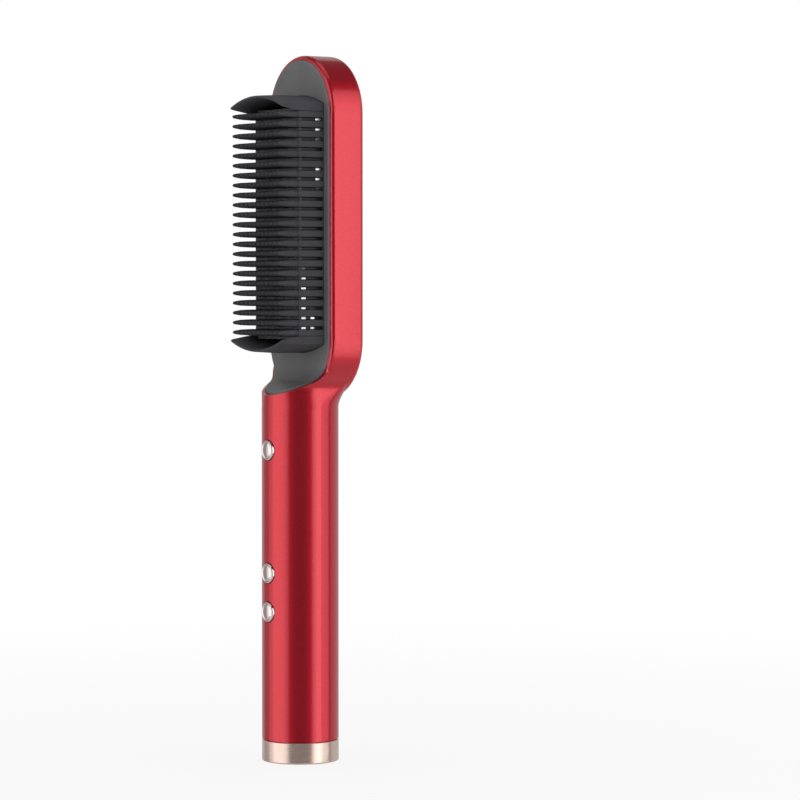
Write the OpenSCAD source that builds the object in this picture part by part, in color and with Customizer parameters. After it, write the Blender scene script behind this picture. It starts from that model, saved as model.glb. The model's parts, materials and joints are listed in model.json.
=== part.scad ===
// Hot straightening comb: a round handle with an oval head, heated metal fins
// between the rows of a cool plastic comb, three buttons and a swivel cord entry.
// Millimetres. The handle stands on its base ring at height zero, its axis is Z,
// the comb faces -Y and the flat back panel faces +Y.

/* [Handle] */
// Outside diameter of the round handle
handle_d = 30; // [27:0.5:34]
// Wall thickness of the handle tube
handle_wall = 2; // [1.6:0.1:2.2]
// Height at which the round handle begins to square off towards the head
neck_low = 138; // [137:0.5:140]
// Distance from the neck's upper end to the centre of the head's lower arc
neck_end = 13; // [12:0.5:15]
// Radius of the hollow curve between handle side and head
neck_fillet = 7; // [6:0.5:8]

/* [Head] */
// Room beside the comb, out to the side of the head
head_margin = 5; // [4.6:0.1:6]
// Depth of the head from its front rim to its back
head_depth = 15; // [14.8:0.1:16]
// Height of the centre of the head's lower arc
arc_low = 164.5; // [163:0.5:168]
// Length of the straight sides between the two arcs
head_straight = 87.5; // [84:0.5:96]
// Wall thickness of the head's side
head_wall = 2.2; // [1.8:0.1:2.4]
// Thickness of the wall behind the heater
back_wall = 1.6; // [1.4:0.1:1.8]
// Rounding of the head's back edge
back_round = 2; // [1.5:0.1:2.4]
// Width of the rim round the back pocket
back_rim = 1.8; // [1.6:0.1:2.2]
// Rounding of the head's front edge
front_round = 1.6; // [1:0.1:1.8]

/* [Back panel] */
// Depth of the pocket for panel and bezel
pocket_depth = 2.2; // [2:0.1:2.4]
// Width of the bezel band
bezel_w = 4.4; // [3.6:0.1:5]
// How far the bezel's outer edge lies below its inner edge
bezel_slope = 1; // [0.6:0.1:1.2]
// Diameter of the bezel's pegs
peg_d = 2.4; // [2:0.1:2.6]
// Distance between the upper and the lower pegs
peg_spread = 56; // [48:1:60]
// Width of the panel's hidden step under the bezel
panel_step = 1.6; // [1:0.1:2]
// Thickness of the panel's hidden step
panel_step_t = 0.8; // [0.6:0.1:1]

/* [Face frame] */
// Thickness of the face frame
frame_t = 2; // [1.6:0.1:2.2]
// Height of the face frame's surface above the shell rim
frame_proud = 0.6; // [0.3:0.1:0.8]
// Width of the shell lip that shows around the face frame
lip_w = 1.6; // [1:0.1:1.7]
// Height of the seam at the front of the handle
scoop_z = 143.7; // [142:0.1:145]
// Slope of the scoop, in degrees above level
scoop_slope = 23.7; // [20:0.1:27]
// Radius of the hollow between scoop and face
scoop_fillet = 7; // [5:0.5:9]

/* [Comb] */
// Width of the comb block
comb_w = 36; // [32:0.5:41]
// How far the comb reaches above the head's upper arc centre
comb_reach_top = 7.3; // [6.5:0.1:8]
// How far the comb reaches below the head's lower arc centre
comb_reach_low = 5.1; // [4.5:0.1:6]
// How far the comb's ends bulge out in the middle
comb_bulge = 3.6; // [2.5:0.1:4.5]
// Spacing of the rows
row_pitch = 3.82; // [3.6:0.01:4.2]
// Room between the block's end and its first row
row_margin = 7.9; // [7.5:0.1:8.5]
// Thickness of a row
row_t = 2.3; // [2:0.1:2.4]
// Height of a row above the face
row_h = 11.4; // [10:0.1:12]
// Length of the free teeth on a row
tooth_l = 8.5; // [7:0.1:9.5]
// Spacing of the teeth along a row
tooth_pitch = 3; // [2.8:0.05:4.5]
// Width of a tooth where it leaves its row
tooth_root_w = 2; // [1.6:0.1:2.2]
// Width of a tooth at its tip
tooth_tip_w = 1; // [0.8:0.1:1.2]
// Thickness of a tooth at its tip
tooth_tip_t = 0.9; // [0.7:0.1:1.1]
// Thickness of a tooth at its waist, where the flare ends
tooth_waist_t = 1.2; // [1.2:0.1:1.6]
// Length of the slender part of a tooth
tooth_slender = 3.6; // [3:0.1:4.5]
// Thickness of the guard wall at each end of the comb
guard_t = 2.8; // [2.2:0.1:2.9]
// How far the guard's tip leans inward
guard_lean = 0.5; // [0:0.1:1]
// Width of the flange that holds the comb behind the face frame
flange_w = 2.2; // [1.8:0.1:2.4]
// Thickness of that flange
flange_t = 1.8; // [1.4:0.1:2]

/* [Heater] */
// Thickness of the heating plate
plate_t = 2.6; // [2:0.1:3]
// Room from the plate's ends to the ends of the comb block
plate_room = 4; // [3:0.5:5]
// Thickness of a heating fin
fin_t = 0.9; // [0.7:0.05:1]
// How far the fins stay below the tops of the rows
fin_drop = 1.5; // [1:0.1:3]
// Width of a ceramic heater
heater_w = 18; // [16:0.5:18.5]
// Length of a ceramic heater
heater_l = 38; // [34:0.5:42]
// Thickness of a ceramic heater
heater_t = 2.2; // [2:0.1:2.3]
// Gap between the two heaters
heater_gap = 4; // [3:0.5:5]
// Thickness of the insulating sheet
sheet_t = 0.4; // [0.3:0.1:0.5]
// Reach of the insulating sheet beyond the heaters
sheet_over = 1; // [0.5:0.1:1.5]
// Thickness of the steel clamp
clamp_t = 0.8; // [0.6:0.1:0.9]
// Width of the clamp's spine
clamp_spine_w = 8; // [6:0.5:10]
// Width of the clamp's arms
clamp_arm_w = 5; // [4.5:0.5:7]
// Diameter of the thermal fuse
fuse_d = 4; // [3.4:0.1:4.2]
// Length of the thermal fuse
fuse_l = 10; // [8:0.5:12]
// Diameter of the temperature sensor
sensor_d = 2.2; // [1.8:0.1:2.6]
// Length of the temperature sensor
sensor_l = 5; // [4:0.5:7]
// Height of fuse and sensor above the middle of the comb
side_parts_up = 24; // [20:1:26]

/* [Head fixings] */
// Diameter of the screws in the head, the board and the tail
screw_d = 2; // [1.8:0.1:2.1]
// Diameter of their heads
screw_head_d = 4.2; // [3.6:0.1:4.3]
// Height of their heads
screw_head_t = 1.3; // [1:0.1:1.4]
// Diameter of the face frame's screw bosses
boss_d = 5.2; // [4.6:0.1:5.6]
// Distance of the head screws from the middle
boss_spread = 7; // [6:0.5:7.5]
// Room between a boss and the comb's flange
boss_room = 0.4; // [0.3:0.1:0.6]
// Thickness of the seat under a head screw
seat_t = 1.3; // [1:0.1:1.5]
// Diameter of the clamp's screws
clamp_screw_d = 1.6; // [1.4:0.1:1.8]
// Diameter of the comb's bosses for them
clamp_boss_d = 3.4; // [3:0.1:3.4]
// Thickness of the ribs that carry the comb from behind
support_t = 2; // [1.5:0.1:2.5]
// How far these ribs reach under the comb's flange
support_grip = 1.2; // [0.8:0.1:1.6]
// Distance between the carrying ribs on each side
support_spread = 28; // [24:1:32]

/* [Buttons] */
// Height of the power button
power_z = 121.7; // [119:0.1:122]
// Height of the plus button
plus_z = 73.9; // [73:0.1:76]
// Height of the minus button
minus_z = 58.8; // [57:0.1:60]
// Visible diameter of a button
button_d = 7.9; // [7:0.1:8.5]
// How far a button's dome stands out of the handle
button_proud = 1; // [0.8:0.1:1.4]
// Travel of a button
button_travel = 0.5; // [0.3:0.05:0.6]
// Width of the flange that keeps a button in the handle
button_flange = 1.05; // [0.9:0.05:1.3]
// Thickness of that flange
button_flange_t = 0.8; // [0.6:0.1:1]

/* [Indicator lights] */
// Number of indicator lights
light_count = 5; // [3:1:5]
// Spacing of the indicator lights
light_pitch = 6.5; // [5.5:0.1:7]
// Diameter of an indicator light
light_d = 1.6; // [1.2:0.1:2]
// Wall left in front of a light, which shines through it
light_skin = 0.7; // [0.6:0.1:0.9]
// Thickness of the bar that joins the light pins
light_bar_t = 1.2; // [1:0.1:1.5]
// Distance between the light guide's two feet
light_feet = 32.4; // [31:0.1:33]

/* [Circuit board] */
// Thickness of the circuit board
board_t = 1.6; // [1.2:0.1:1.8]
// Room from the board's side to the wall of the handle
board_side = 0.9; // [0.8:0.1:1.4]
// Length of the board below the minus button
board_tail = 14.8; // [14:0.1:16]
// Length of the board above the power button
board_head = 12.3; // [12:0.1:13]
// Body width of a push switch
switch_w = 6; // [5:0.1:6.5]
// Body height of a push switch
switch_h = 3.5; // [3:0.1:3.8]
// Diameter of a switch's plunger
plunger_d = 3.5; // [3:0.1:3.8]
// How far a plunger stands out of its switch
plunger_out = 1; // [0.9:0.1:1.2]
// Width of the indicator diodes
led_w = 1.6; // [1:0.1:1.6]
// Height of the indicator diodes
led_h = 0.8; // [0.5:0.1:0.9]
// Width of the control chip
chip_w = 5; // [4:0.1:5]
// Height of the control chip
chip_h = 1.4; // [1:0.1:1.8]
// Length of the control chip
chip_l = 10; // [7:0.5:12]
// Width of the heater's triac
triac_w = 10; // [9:0.1:10.4]
// Height of the heater's triac
triac_h = 4.4; // [4:0.1:4.7]
// Length of the heater's triac
triac_l = 15; // [12:0.5:16]
// Width of the dropper capacitor
dropper_w = 7.6; // [6:0.1:8]
// Height of the dropper capacitor
dropper_h = 11; // [9:0.5:12]
// Length of the dropper capacitor
dropper_l = 18; // [15:0.5:18]
// Diameter of the smoothing capacitor
smoother_d = 6.4; // [5:0.1:6.4]
// Height of the smoothing capacitor
smoother_h = 11; // [9:0.5:12]
// Diameter of the surge absorber
absorber_d = 9.6; // [7:0.1:9.6]
// Thickness of the surge absorber
absorber_t = 3.6; // [3:0.1:4]
// Diameter of the mains fuse
mains_fuse_d = 5.2; // [4:0.1:5.4]
// Height of the mains fuse
mains_fuse_h = 9; // [7:0.5:10]
// Diameter of the heater and mains wires
wire_d = 1.2; // [1:0.1:1.4]
// Diameter of the sensor wires
thin_wire_d = 0.8; // [0.6:0.1:1]

/* [Board carrier] */
// How far the rails grip over the board's sides
rail_grip = 1.3; // [1:0.1:1.6]
// Thickness of a rail in front of the board
rail_front = 1; // [0.8:0.1:1.2]
// Thickness of a rail behind the board
rail_rear = 1.6; // [1.2:0.1:2]
// Height of the carrier's cross bars
bar_h = 4; // [3.5:0.1:5]
// Thickness of the carrier's cross bars
bar_t = 3.4; // [3:0.1:3.6]
// Length of the rails above the board
rail_over = 3.7; // [3:0.1:4]

/* [Base] */
// Height of the metal ring round the base
ring_h = 8.3; // [7.5:0.1:9]
// Wall thickness of that ring
ring_t = 0.95; // [0.8:0.05:1]
// Thickness of the ring's inward lip
ring_lip = 1; // [0.8:0.1:1.2]
// Reach of the lip inward from the handle's bore
ring_lip_in = 0.6; // [0.4:0.1:1]
// Width of the shadow gap above the ring
ring_gap = 0.5; // [0.3:0.1:0.7]
// Height of the tail plug
plug_h = 18.5; // [18:0.1:20]
// Thickness of the plug's flange
plug_flange_t = 1.5; // [1.2:0.1:1.8]
// Height of the seat that carries the swivel gland
seat_z = 14; // [13:0.1:14.5]
// Outside diameter of the swivel gland
gland_d = 12.84; // [12:0.01:13.2]
// Diameter of the cord bore
cord_bore_d = 6.2; // [5.6:0.1:7]
// Diameter of the gland's retaining flange
gland_flange_d = 17.8; // [17:0.1:17.8]
// Thickness of that flange
gland_flange_t = 1.4; // [1.2:0.1:1.6]
// Diameter of the gland above the flange
gland_neck_d = 9.2; // [8.6:0.1:9.2]
// Radius of the inner contact track
track_inner = 5.6; // [5.5:0.1:5.7]
// Radius of the outer contact track
track_outer = 7.8; // [7.7:0.1:8]
// Width of a contact track
track_w = 1.2; // [1:0.1:1.2]
// Thickness of a contact track
track_t = 0.4; // [0.3:0.1:0.5]
// Width of a contact leaf
leaf_w = 0.9; // [0.7:0.1:1]
// Thickness of the disc that carries the contact leaves
carrier_t = 2; // [1.6:0.1:2.4]

/* [Clearances] */
// Gap between fixed parts that sit in each other
fit_gap = 0.15; // [0.1:0.01:0.2]
// Gap between fixed parts that lie on each other
seat_gap = 0.1; // [0.08:0.01:0.12]
// Free play round a button in its hole
button_clear = 0.25; // [0.2:0.01:0.35]
// Radial gap of a turning or sliding fit
turn_gap = 0.08; // [0.05:0.01:0.1]
// Radial room round the turning gland's flange and neck
free_gap = 0.6; // [0.4:0.1:0.7]
// Gap between a fin and the rows beside it
fin_gap = 0.3; // [0.2:0.01:0.35]
// Radial gap of a screw in its pilot hole
thread_gap = 0.05; // [0.03:0.01:0.1]

/* [Hidden] */

$fn = 64;
BIG_FN = 180;
EPS = 0.01;
OVER = 1;
FAR = 60;

// Handle and head
handle_r = handle_d / 2;
bore_r = handle_r - handle_wall;
head_w = comb_w + 2 * head_margin;
head_r = head_w / 2;
arc_high = arc_low + head_straight;
total_l = arc_high + head_r;
back_y = handle_r;
rim_y = back_y - head_depth;
cavity_r = head_r - head_wall;
pocket_r = head_r - back_rim;
pocket_y = back_y - pocket_depth;
cavity_y = pocket_y - back_wall;
shell_low = ring_h + ring_gap;
bore_full_top = arc_low - pocket_r - back_wall;
neck_high = arc_low - neck_end;
neck_steps = 12;
fade_steps = 4;
neck_tuck = 0.03;
neck_flat = 0.05;
corner_min = 0.4;
arc_step = 7.5;
fillet_z = arc_low - sqrt(pow(head_r + neck_fillet, 2) - pow(handle_r + neck_fillet, 2));
join_z = arc_low - (arc_low - fillet_z) * head_r / (head_r + neck_fillet);

// Face frame and scoop
face_y = rim_y - frame_proud;
frame_inset = lip_w + fit_gap;
frame_back_y = face_y + frame_t;
scoop_axis_y = face_y - scoop_fillet;
scoop_axis_z = scoop_z
    + (scoop_fillet + sin(scoop_slope) * (scoop_axis_y + handle_r)) / cos(scoop_slope);
fade_l = scoop_axis_z + 0.5 - neck_high;

// Comb
comb_low = arc_low - comb_reach_low;
comb_top = arc_high + comb_reach_top;
comb_l = comb_top - comb_low;
comb_mid = (comb_low + comb_top) / 2;
row_y = face_y - row_h;
tip_y = row_y - tooth_l;
row_count = floor((comb_l - 2 * row_margin) / row_pitch + 0.001) + 1;
first_row_z = comb_mid - (row_count - 1) * row_pitch / 2;
tooth_count = floor((comb_w - tooth_root_w) / tooth_pitch + 0.001) + 1;
end_r = (pow(comb_w / 2, 2) + pow(comb_bulge, 2)) / (2 * comb_bulge);
slot_w = row_pitch - row_t;
fin_half = min(fin_t, slot_w - 2 * fin_gap) / 2;

// Heater stack, from the comb's flange backwards
flange_y = frame_back_y + fit_gap;
flange_back_y = flange_y + flange_t;
plate_y = flange_back_y + seat_gap;
plate_back_y = plate_y + plate_t;
plate_l = comb_l - 2 * plate_room;
heater_back_y = plate_back_y + heater_t;
clamp_y = heater_back_y + sheet_t;
clamp_back_y = clamp_y + clamp_t;
heater_shift = (heater_l + heater_gap) / 2;
heater_half = heater_shift + heater_l / 2;
arm_shift = heater_half - clamp_arm_w;
clamp_boss_r = clamp_boss_d / 2;
clamp_boss_x = cavity_r - clamp_boss_r - 0.7;
clamp_ear = 0.2;
plate_w = 2 * (clamp_boss_x - clamp_boss_r - 0.5);
side_x = (plate_w / 2 + heater_w / 2) / 2 + 1.3;
side_z = comb_mid + side_parts_up;
end_fin_z = row_count * row_pitch / 2 + fin_half;
end_fin_x = min(plate_w / 2, chord(end_r - guard_t - fin_gap, end_fin_z + end_r - comb_l / 2));

// Fixings of the head
screw_r = screw_d / 2;
screw_head_r = screw_head_d / 2;
boss_r = boss_d / 2;
boss_low_z = comb_low - flange_w - boss_r - boss_room;
boss_high_z = comb_top + flange_w + boss_r + boss_room;
screw_seat_y = pocket_y - screw_head_t - 0.6;
boss_back_y = screw_seat_y - seat_t - seat_gap;
peg_r = peg_d / 2;
peg_x = pocket_r - peg_r - 0.8;
support_y = flange_back_y + seat_gap;
support_in = comb_w / 2 + flange_w - support_grip;
root = 0.4;

// Buttons and circuit board, as distances in front of the handle axis
button_r = button_d / 2;
flange_r = button_r + button_flange;
flange_front = chord(bore_r, flange_r) - 0.2;
flange_rear = flange_front - button_flange_t;
plunger_front = flange_rear - 0.5;
switch_front = plunger_front - plunger_out;
board_front = switch_front - switch_h;
board_rear = board_front - board_t;
board_half = chord(bore_r, board_front) - board_side;
board_low = minus_z - board_tail;
board_high = power_z + board_head;
plunger_r = plunger_d / 2;
plunger_sunk = button_travel + 0.2;
button_heights = [minus_z, plus_z, power_z];
lights_mid = (plus_z + power_z) / 2;
light_r = light_d / 2;
light_bar_half = light_r + 0.9;
light_bar_front = chord(bore_r, light_bar_half) - 0.4;
light_foot_r = 1.3;
light_peg_r = 0.8;

// Board carrier
rail_r = bore_r - 0.2;
rail_x = board_half - rail_grip;
bar_rear = board_rear - seat_gap - bar_t;
bar_inset = 2;
bar_low_z = board_low + bar_h / 2 + bar_inset;
bar_high_z = board_high - bar_h / 2 - bar_inset;
rail_top = board_high + rail_over;
rail_low = plug_h + carrier_t + seat_gap;
stop_w = 2.6;
stop_h = 2;
stop_mid = bore_r + 0.2 - stop_w / 2;

// Base
spigot_r = handle_r - ring_t - seat_gap;
lip_r = bore_r - ring_lip_in;
plug_r = bore_r - fit_gap;
plug_low = 0.4;
plug_flange_low = ring_lip + seat_gap;
plug_flange_high = plug_flange_low + plug_flange_t;
plug_flange_r = spigot_r - 0.2;
spigot_low = plug_flange_high + seat_gap;
cup_r = gland_flange_d / 2 + free_gap;
gland_r = gland_d / 2;
gland_bore_r = gland_r + turn_gap;
gland_low = 0.5;
gland_top = plug_h + 1.1;
gland_neck_r = gland_neck_d / 2;
gland_flange_low = seat_z + seat_gap;
gland_flange_high = gland_flange_low + gland_flange_t;
tail_screw_z = (plug_flange_high + ring_h) / 2 + 0.4;
tail_screw_in = gland_bore_r + 1.8;

// Wires: where they leave the board, and where they run
wire_r = wire_d / 2;
thin_wire_r = thin_wire_d / 2;
wire_z = power_z - 1.7;
wire_bend = 3;
wire_run_y = 5;
inner_wire_x = 3;
outer_wire_x = 5.6;
sensor_wire_x = 8;
thin_bend_x = bore_r - 2.2;
side_wire_x = heater_w / 2 + 3.4;
mains_wire_x = 5;
mains_wire_z = minus_z - 4.8;

// Half width of a circle of radius r at distance d from its centre
function chord(r, d) = sqrt(r * r - d * d);

// Smooth step from 0 to 1
function ease(t) = t * t * (3 - 2 * t);

function unit(v) = v / norm(v);

// Half width of the outline at height z: handle, hollow curve, head arc
function outline_half(z) =
    z <= fillet_z ? handle_r
    : z <= join_z ? handle_r + neck_fillet - chord(neck_fillet, z - fillet_z)
    : chord(head_r, arc_low - z);

// Radius of the back corners of the section at height z
function corner_at(z) =
    let (t = min(1, max(0, (z - neck_low) / (neck_high - neck_low))))
    handle_r + (back_round - handle_r) * ease(t);

// Section of the neck: round in front, squared off at the back
function neck_section(z, inset) =
    let (
        w = outline_half(z) - inset,
        d = handle_r - inset,
        c = min(w - neck_flat, d - neck_flat, max(corner_min, corner_at(z) - inset))
    )
    concat(
        [for (a = [180 : arc_step : 360]) [w * cos(a), d * sin(a)]],
        [for (a = [0 : arc_step : 90]) [w - c + c * cos(a), d - c + c * sin(a)]],
        [for (a = [90 : arc_step : 180]) [c - w + c * cos(a), d - c + c * sin(a)]]
    );

// Blend from the handle into the head, tucked in a hair under both. Its top
// draws in by fade, so that the scoop runs out into the face.
module neck(inset, fade) {
    heights = concat(
        [neck_low - OVER],
        [for (k = [0 : neck_steps]) neck_low + k * (neck_high - neck_low) / neck_steps],
        [for (k = [1 : fade_steps]) neck_high + k * fade_l / fade_steps]
    );
    rings = [for (z = heights)
        neck_section(z, inset + neck_tuck + fade * ease(max(0, (z - neck_high) / fade_l)))];
    n = len(rings[0]);
    last = len(heights) - 1;
    points = [for (k = [0 : last], p = rings[k]) [p.x, p.y, heights[k]]];
    faces = concat(
        [[for (i = [0 : n - 1]) i]],
        [for (k = [0 : last - 1], i = [0 : n - 1], side = [0, 1])
            let (a = k * n + i, b = k * n + (i + 1) % n)
            side == 0 ? [a, a + n, b] : [b, a + n, b + n]],
        [[for (i = [0 : n - 1]) (last + 1) * n - 1 - i]]
    );
    polyhedron(points, faces);
}

// Surface that sweeps from the front of the handle up to the face of the head,
// moved back into the material by depth
function scoop_line(depth) =
    let (
        r = scoop_fillet + depth,
        foot = [scoop_axis_y + r * sin(scoop_slope), scoop_axis_z - r * cos(scoop_slope)],
        steps = 12
    )
    concat(
        [foot - FAR * [cos(scoop_slope), sin(scoop_slope)]],
        [for (i = [0 : steps]) let (a = (scoop_slope - 90) * (1 - i / steps))
            [scoop_axis_y + r * cos(a), scoop_axis_z + r * sin(a)]],
        [[face_y + depth, total_l + FAR]]
    );

// Space in front of that surface
module scoop_space(depth)
    along_x(2 * FAR) polygon(concat(scoop_line(depth), [[-2 * FAR, total_l + FAR]]));

// Extrudes a side view, drawn in Y and Z, across the middle
module along_x(w) rotate([90, 0, 90]) linear_extrude(w, center = true) children();

// Extrudes a front view, drawn in X and Z, between two places on Y
module along_y(y0, y1) translate([0, y1, 0]) rotate([90, 0, 0]) linear_extrude(y1 - y0) children();

// Round bar along Y, between two distances in front of the axis
module front_pin(r, f0, f1) translate([0, -f0, 0]) rotate([90, 0, 0]) cylinder(r = r, h = f1 - f0);

// Round bar along Y between two places
module y_pin(r, y0, y1) front_pin(r, -y1, -y0);

// Oval in the plane of the head
module oval(r) {
    translate([-r, arc_low]) square([2 * r, head_straight]);
    for (z = [arc_low, arc_high]) translate([0, z]) circle(r);
}

// Oval slab with rounded front and back edges
module soft_oval(r, y0, y1, front, back) {
    profile = concat(
        [[0, -y1]],
        [for (a = [-90 : 18 : 0]) [r - back + back * cos(a), back - y1 + back * sin(a)]],
        [for (a = [0 : 22.5 : 90]) [r - front + front * cos(a), -y0 - front + front * sin(a)]],
        [[0, -y0]]
    );
    for (z = [arc_low, arc_high])
        translate([0, 0, z]) rotate([90, 0, 0]) rotate_extrude() polygon(profile);
    translate([0, 0, arc_low]) linear_extrude(head_straight)
        for (s = [-1, 1]) polygon([for (p = profile) [s * p.x, -p.y]]);
}

// Rectangle with bulging ends in the plane of the head
module comb_outline(grow) {
    w = comb_w / 2 + grow;
    for (s = [-1, 1])
        translate([0, comb_mid]) scale([1, s]) intersection() {
            translate([0, comb_l / 2 - end_r]) circle(end_r + grow, $fn = BIG_FN);
            translate([-w, -5 * OVER]) square([2 * w, comb_l]);
        }
}

// Wire along a list of points, as one closed tube
module wire(path, r, sides = 8) {
    n = len(path);
    ref = unit([0.92, 0.31, 0.24]);
    tangents = [for (i = [0 : n - 1]) unit(path[min(i + 1, n - 1)] - path[max(i - 1, 0)])];
    points = [for (i = [0 : n - 1])
        let (u = unit(cross(tangents[i], ref)), v = cross(tangents[i], u))
        for (k = [0 : sides - 1])
            path[i] + r * (cos(360 * k / sides) * u + sin(360 * k / sides) * v)];
    faces = concat(
        [[for (k = [0 : sides - 1]) k]],
        [for (i = [0 : n - 2], k = [0 : sides - 1])
            let (a = i * sides + k, b = i * sides + (k + 1) % sides)
            [a, a + sides, b + sides, b]],
        [[for (k = [0 : sides - 1]) n * sides - 1 - k]]
    );
    polyhedron(points, faces);
}

module at_head_screws()
    for (x = [-boss_spread, boss_spread], z = [boss_low_z, boss_high_z])
        translate([x, 0, z]) children();

module at_clamp_screws()
    for (x = [-clamp_boss_x, clamp_boss_x], z = [comb_mid - arm_shift, comb_mid + arm_shift])
        translate([x, 0, z]) children();

module at_bezel_pegs()
    for (x = [-peg_x, peg_x], z = [comb_mid - peg_spread / 2, comb_mid + peg_spread / 2])
        translate([x, 0, z]) children();

module at_lights()
    for (i = [0 : light_count - 1])
        translate([0, 0, lights_mid + (i - (light_count - 1) / 2) * light_pitch]) children();

module at_light_feet()
    for (s = [-1, 1]) translate([0, 0, lights_mid + s * light_feet / 2]) children();

module at_board_screws() for (z = [bar_low_z, bar_high_z]) translate([0, 0, z]) children();

module at_tail_screws()
    for (a = [0, 180]) translate([0, 0, tail_screw_z]) rotate([0, 90, a]) children();

// Ribs inside the shell: stops for the board's rails and supports for the comb
module shell_ribs() {
    support_l = cavity_y - flange_back_y;
    support_w = cavity_r + root - support_in;
    for (x = [-stop_mid, stop_mid])
        translate([x - stop_w / 2, -board_front, rail_top + seat_gap])
            cube([stop_w, board_t + rail_rear, stop_h]);
    for (x = [-cavity_r - root, support_in], z = [-support_spread / 2, support_spread / 2])
        translate([x, support_y, comb_mid + z - support_t / 2]) cube([support_w, support_l, support_t]);
    for (z = [comb_low - flange_w, comb_top])
        translate([-support_t / 2, support_y, z]) cube([support_t, support_l, flange_w]);
}

module body_shell() color("crimson") {
    difference() {
        union() {
            translate([0, 0, shell_low]) cylinder(r = handle_r, h = neck_low - shell_low);
            translate([0, 0, spigot_low]) cylinder(r = spigot_r, h = shell_low - spigot_low + OVER);
            neck(0, front_round);
            soft_oval(head_r, rim_y, back_y, front_round, back_round);
        }
        translate([0, 0, spigot_low - OVER]) cylinder(r = bore_r, h = bore_full_top - spigot_low + OVER);
        intersection() {
            translate([0, 0, bore_full_top - OVER]) cylinder(r = bore_r, h = arc_low - bore_full_top);
            along_x(2 * FAR) translate([-FAR, 0]) square([FAR + cavity_y, arc_high]);
        }
        along_y(-handle_r, cavity_y) oval(cavity_r);
        intersection() {
            union() {
                along_y(-handle_r, frame_back_y + fit_gap) oval(head_r - lip_w);
                neck(lip_w, 0);
            }
            scoop_space(frame_t + fit_gap);
        }
        scoop_space(frame_proud);
        along_y(pocket_y, back_y + OVER) oval(pocket_r);
        for (z = button_heights)
            translate([0, 0, z]) front_pin(button_r + button_clear, bore_r - 3, handle_r + OVER);
        at_lights() front_pin(light_r + fit_gap, bore_r - 3, handle_r - light_skin);
        at_head_screws() y_pin(screw_r + fit_gap, cavity_y - OVER, back_y);
        at_head_screws() y_pin(screw_head_r + fit_gap, screw_seat_y, back_y);
        at_bezel_pegs() y_pin(peg_r + fit_gap, cavity_y - OVER, back_y);
        at_tail_screws() {
            translate([0, 0, bore_r - OVER]) cylinder(r = screw_r, h = 3 * OVER);
            translate([0, 0, bore_r]) cylinder(r1 = screw_r, r2 = screw_head_r, h = spigot_r - bore_r + EPS);
        }
    }
    at_head_screws()
        difference() {
            y_pin(boss_r + 0.6, boss_back_y + seat_gap, cavity_y + EPS);
            y_pin(screw_r + fit_gap, boss_back_y - OVER, cavity_y + OVER);
            y_pin(screw_head_r + fit_gap, screw_seat_y, cavity_y + OVER);
        }
    shell_ribs();
}

module face_frame() color("dimgray") difference() {
    union() {
        intersection() {
            union() {
                soft_oval(head_r - frame_inset, face_y, frame_back_y, frame_proud, EPS);
                difference() {
                    neck(frame_inset, frame_proud);
                    translate([-head_r, 0, neck_low - 2 * OVER]) cube([head_w, FAR, FAR]);
                }
            }
            difference() {
                translate([-head_r, -handle_r, neck_low]) cube([head_w, handle_r + frame_back_y, total_l]);
                scoop_space(0);
            }
            scoop_space(frame_t);
        }
        at_head_screws() y_pin(boss_r, face_y + OVER, boss_back_y);
    }
    along_y(face_y - OVER, frame_back_y + OVER) comb_outline(fit_gap);
    at_head_screws() y_pin(screw_r + thread_gap, frame_back_y, boss_back_y + OVER);
}

module back_bezel() color("rosybrown") {
    outer = pocket_r - fit_gap;
    inner = outer - bezel_w;
    base = pocket_y + seat_gap;
    slope_y = back_y - bezel_slope;
    difference() {
        union() {
            for (z = [arc_low, arc_high])
                translate([0, back_y, z]) rotate([90, 0, 0])
                    cylinder(r1 = inner, r2 = outer, h = bezel_slope);
            difference() {
                translate([0, 0, arc_low]) linear_extrude(head_straight)
                    polygon([[-outer, slope_y], [-inner, back_y], [inner, back_y], [outer, slope_y]]);
                translate([-inner / 2, slope_y - OVER, arc_low])
                    cube([inner, bezel_slope + 2 * OVER, head_straight]);
            }
            along_y(base, slope_y) oval(outer);
            at_bezel_pegs() y_pin(peg_r, cavity_y + 0.2, base + EPS);
        }
        along_y(base - OVER, back_y + OVER) oval(inner);
        along_y(base - OVER, base + panel_step_t + seat_gap) oval(inner + panel_step);
    }
}

module back_panel() color("firebrick") {
    inner = pocket_r - 2 * fit_gap - bezel_w;
    base = pocket_y + seat_gap;
    along_y(base, back_y) oval(inner);
    along_y(base, base + panel_step_t) oval(inner + panel_step);
}

// Side view of one row: a straight rib that narrows into slender teeth
function row_points(z) =
    let (
        half = [
            [face_y + EPS, row_t / 2], [row_y, row_t / 2],
            [tip_y + tooth_slender, tooth_waist_t / 2], [tip_y, tooth_tip_t / 2]
        ],
        last = len(half) - 1
    )
    concat(
        [for (i = [0 : last]) [half[i].x, z - half[i].y]],
        [for (i = [last : -1 : 0]) [half[i].x, z + half[i].y]]
    );

// Teeth seen along the handle, each wider at its root
module tooth_plan() translate([0, 0, comb_low]) linear_extrude(comb_l)
    for (i = [0 : tooth_count - 1]) let (x = (i - (tooth_count - 1) / 2) * tooth_pitch)
        polygon([
            [x - tooth_root_w / 2, face_y - OVER], [x - tooth_root_w / 2, row_y],
            [x - tooth_tip_w / 2, tip_y - EPS], [x + tooth_tip_w / 2, tip_y - EPS],
            [x + tooth_root_w / 2, row_y], [x + tooth_root_w / 2, face_y - OVER]
        ]);

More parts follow.
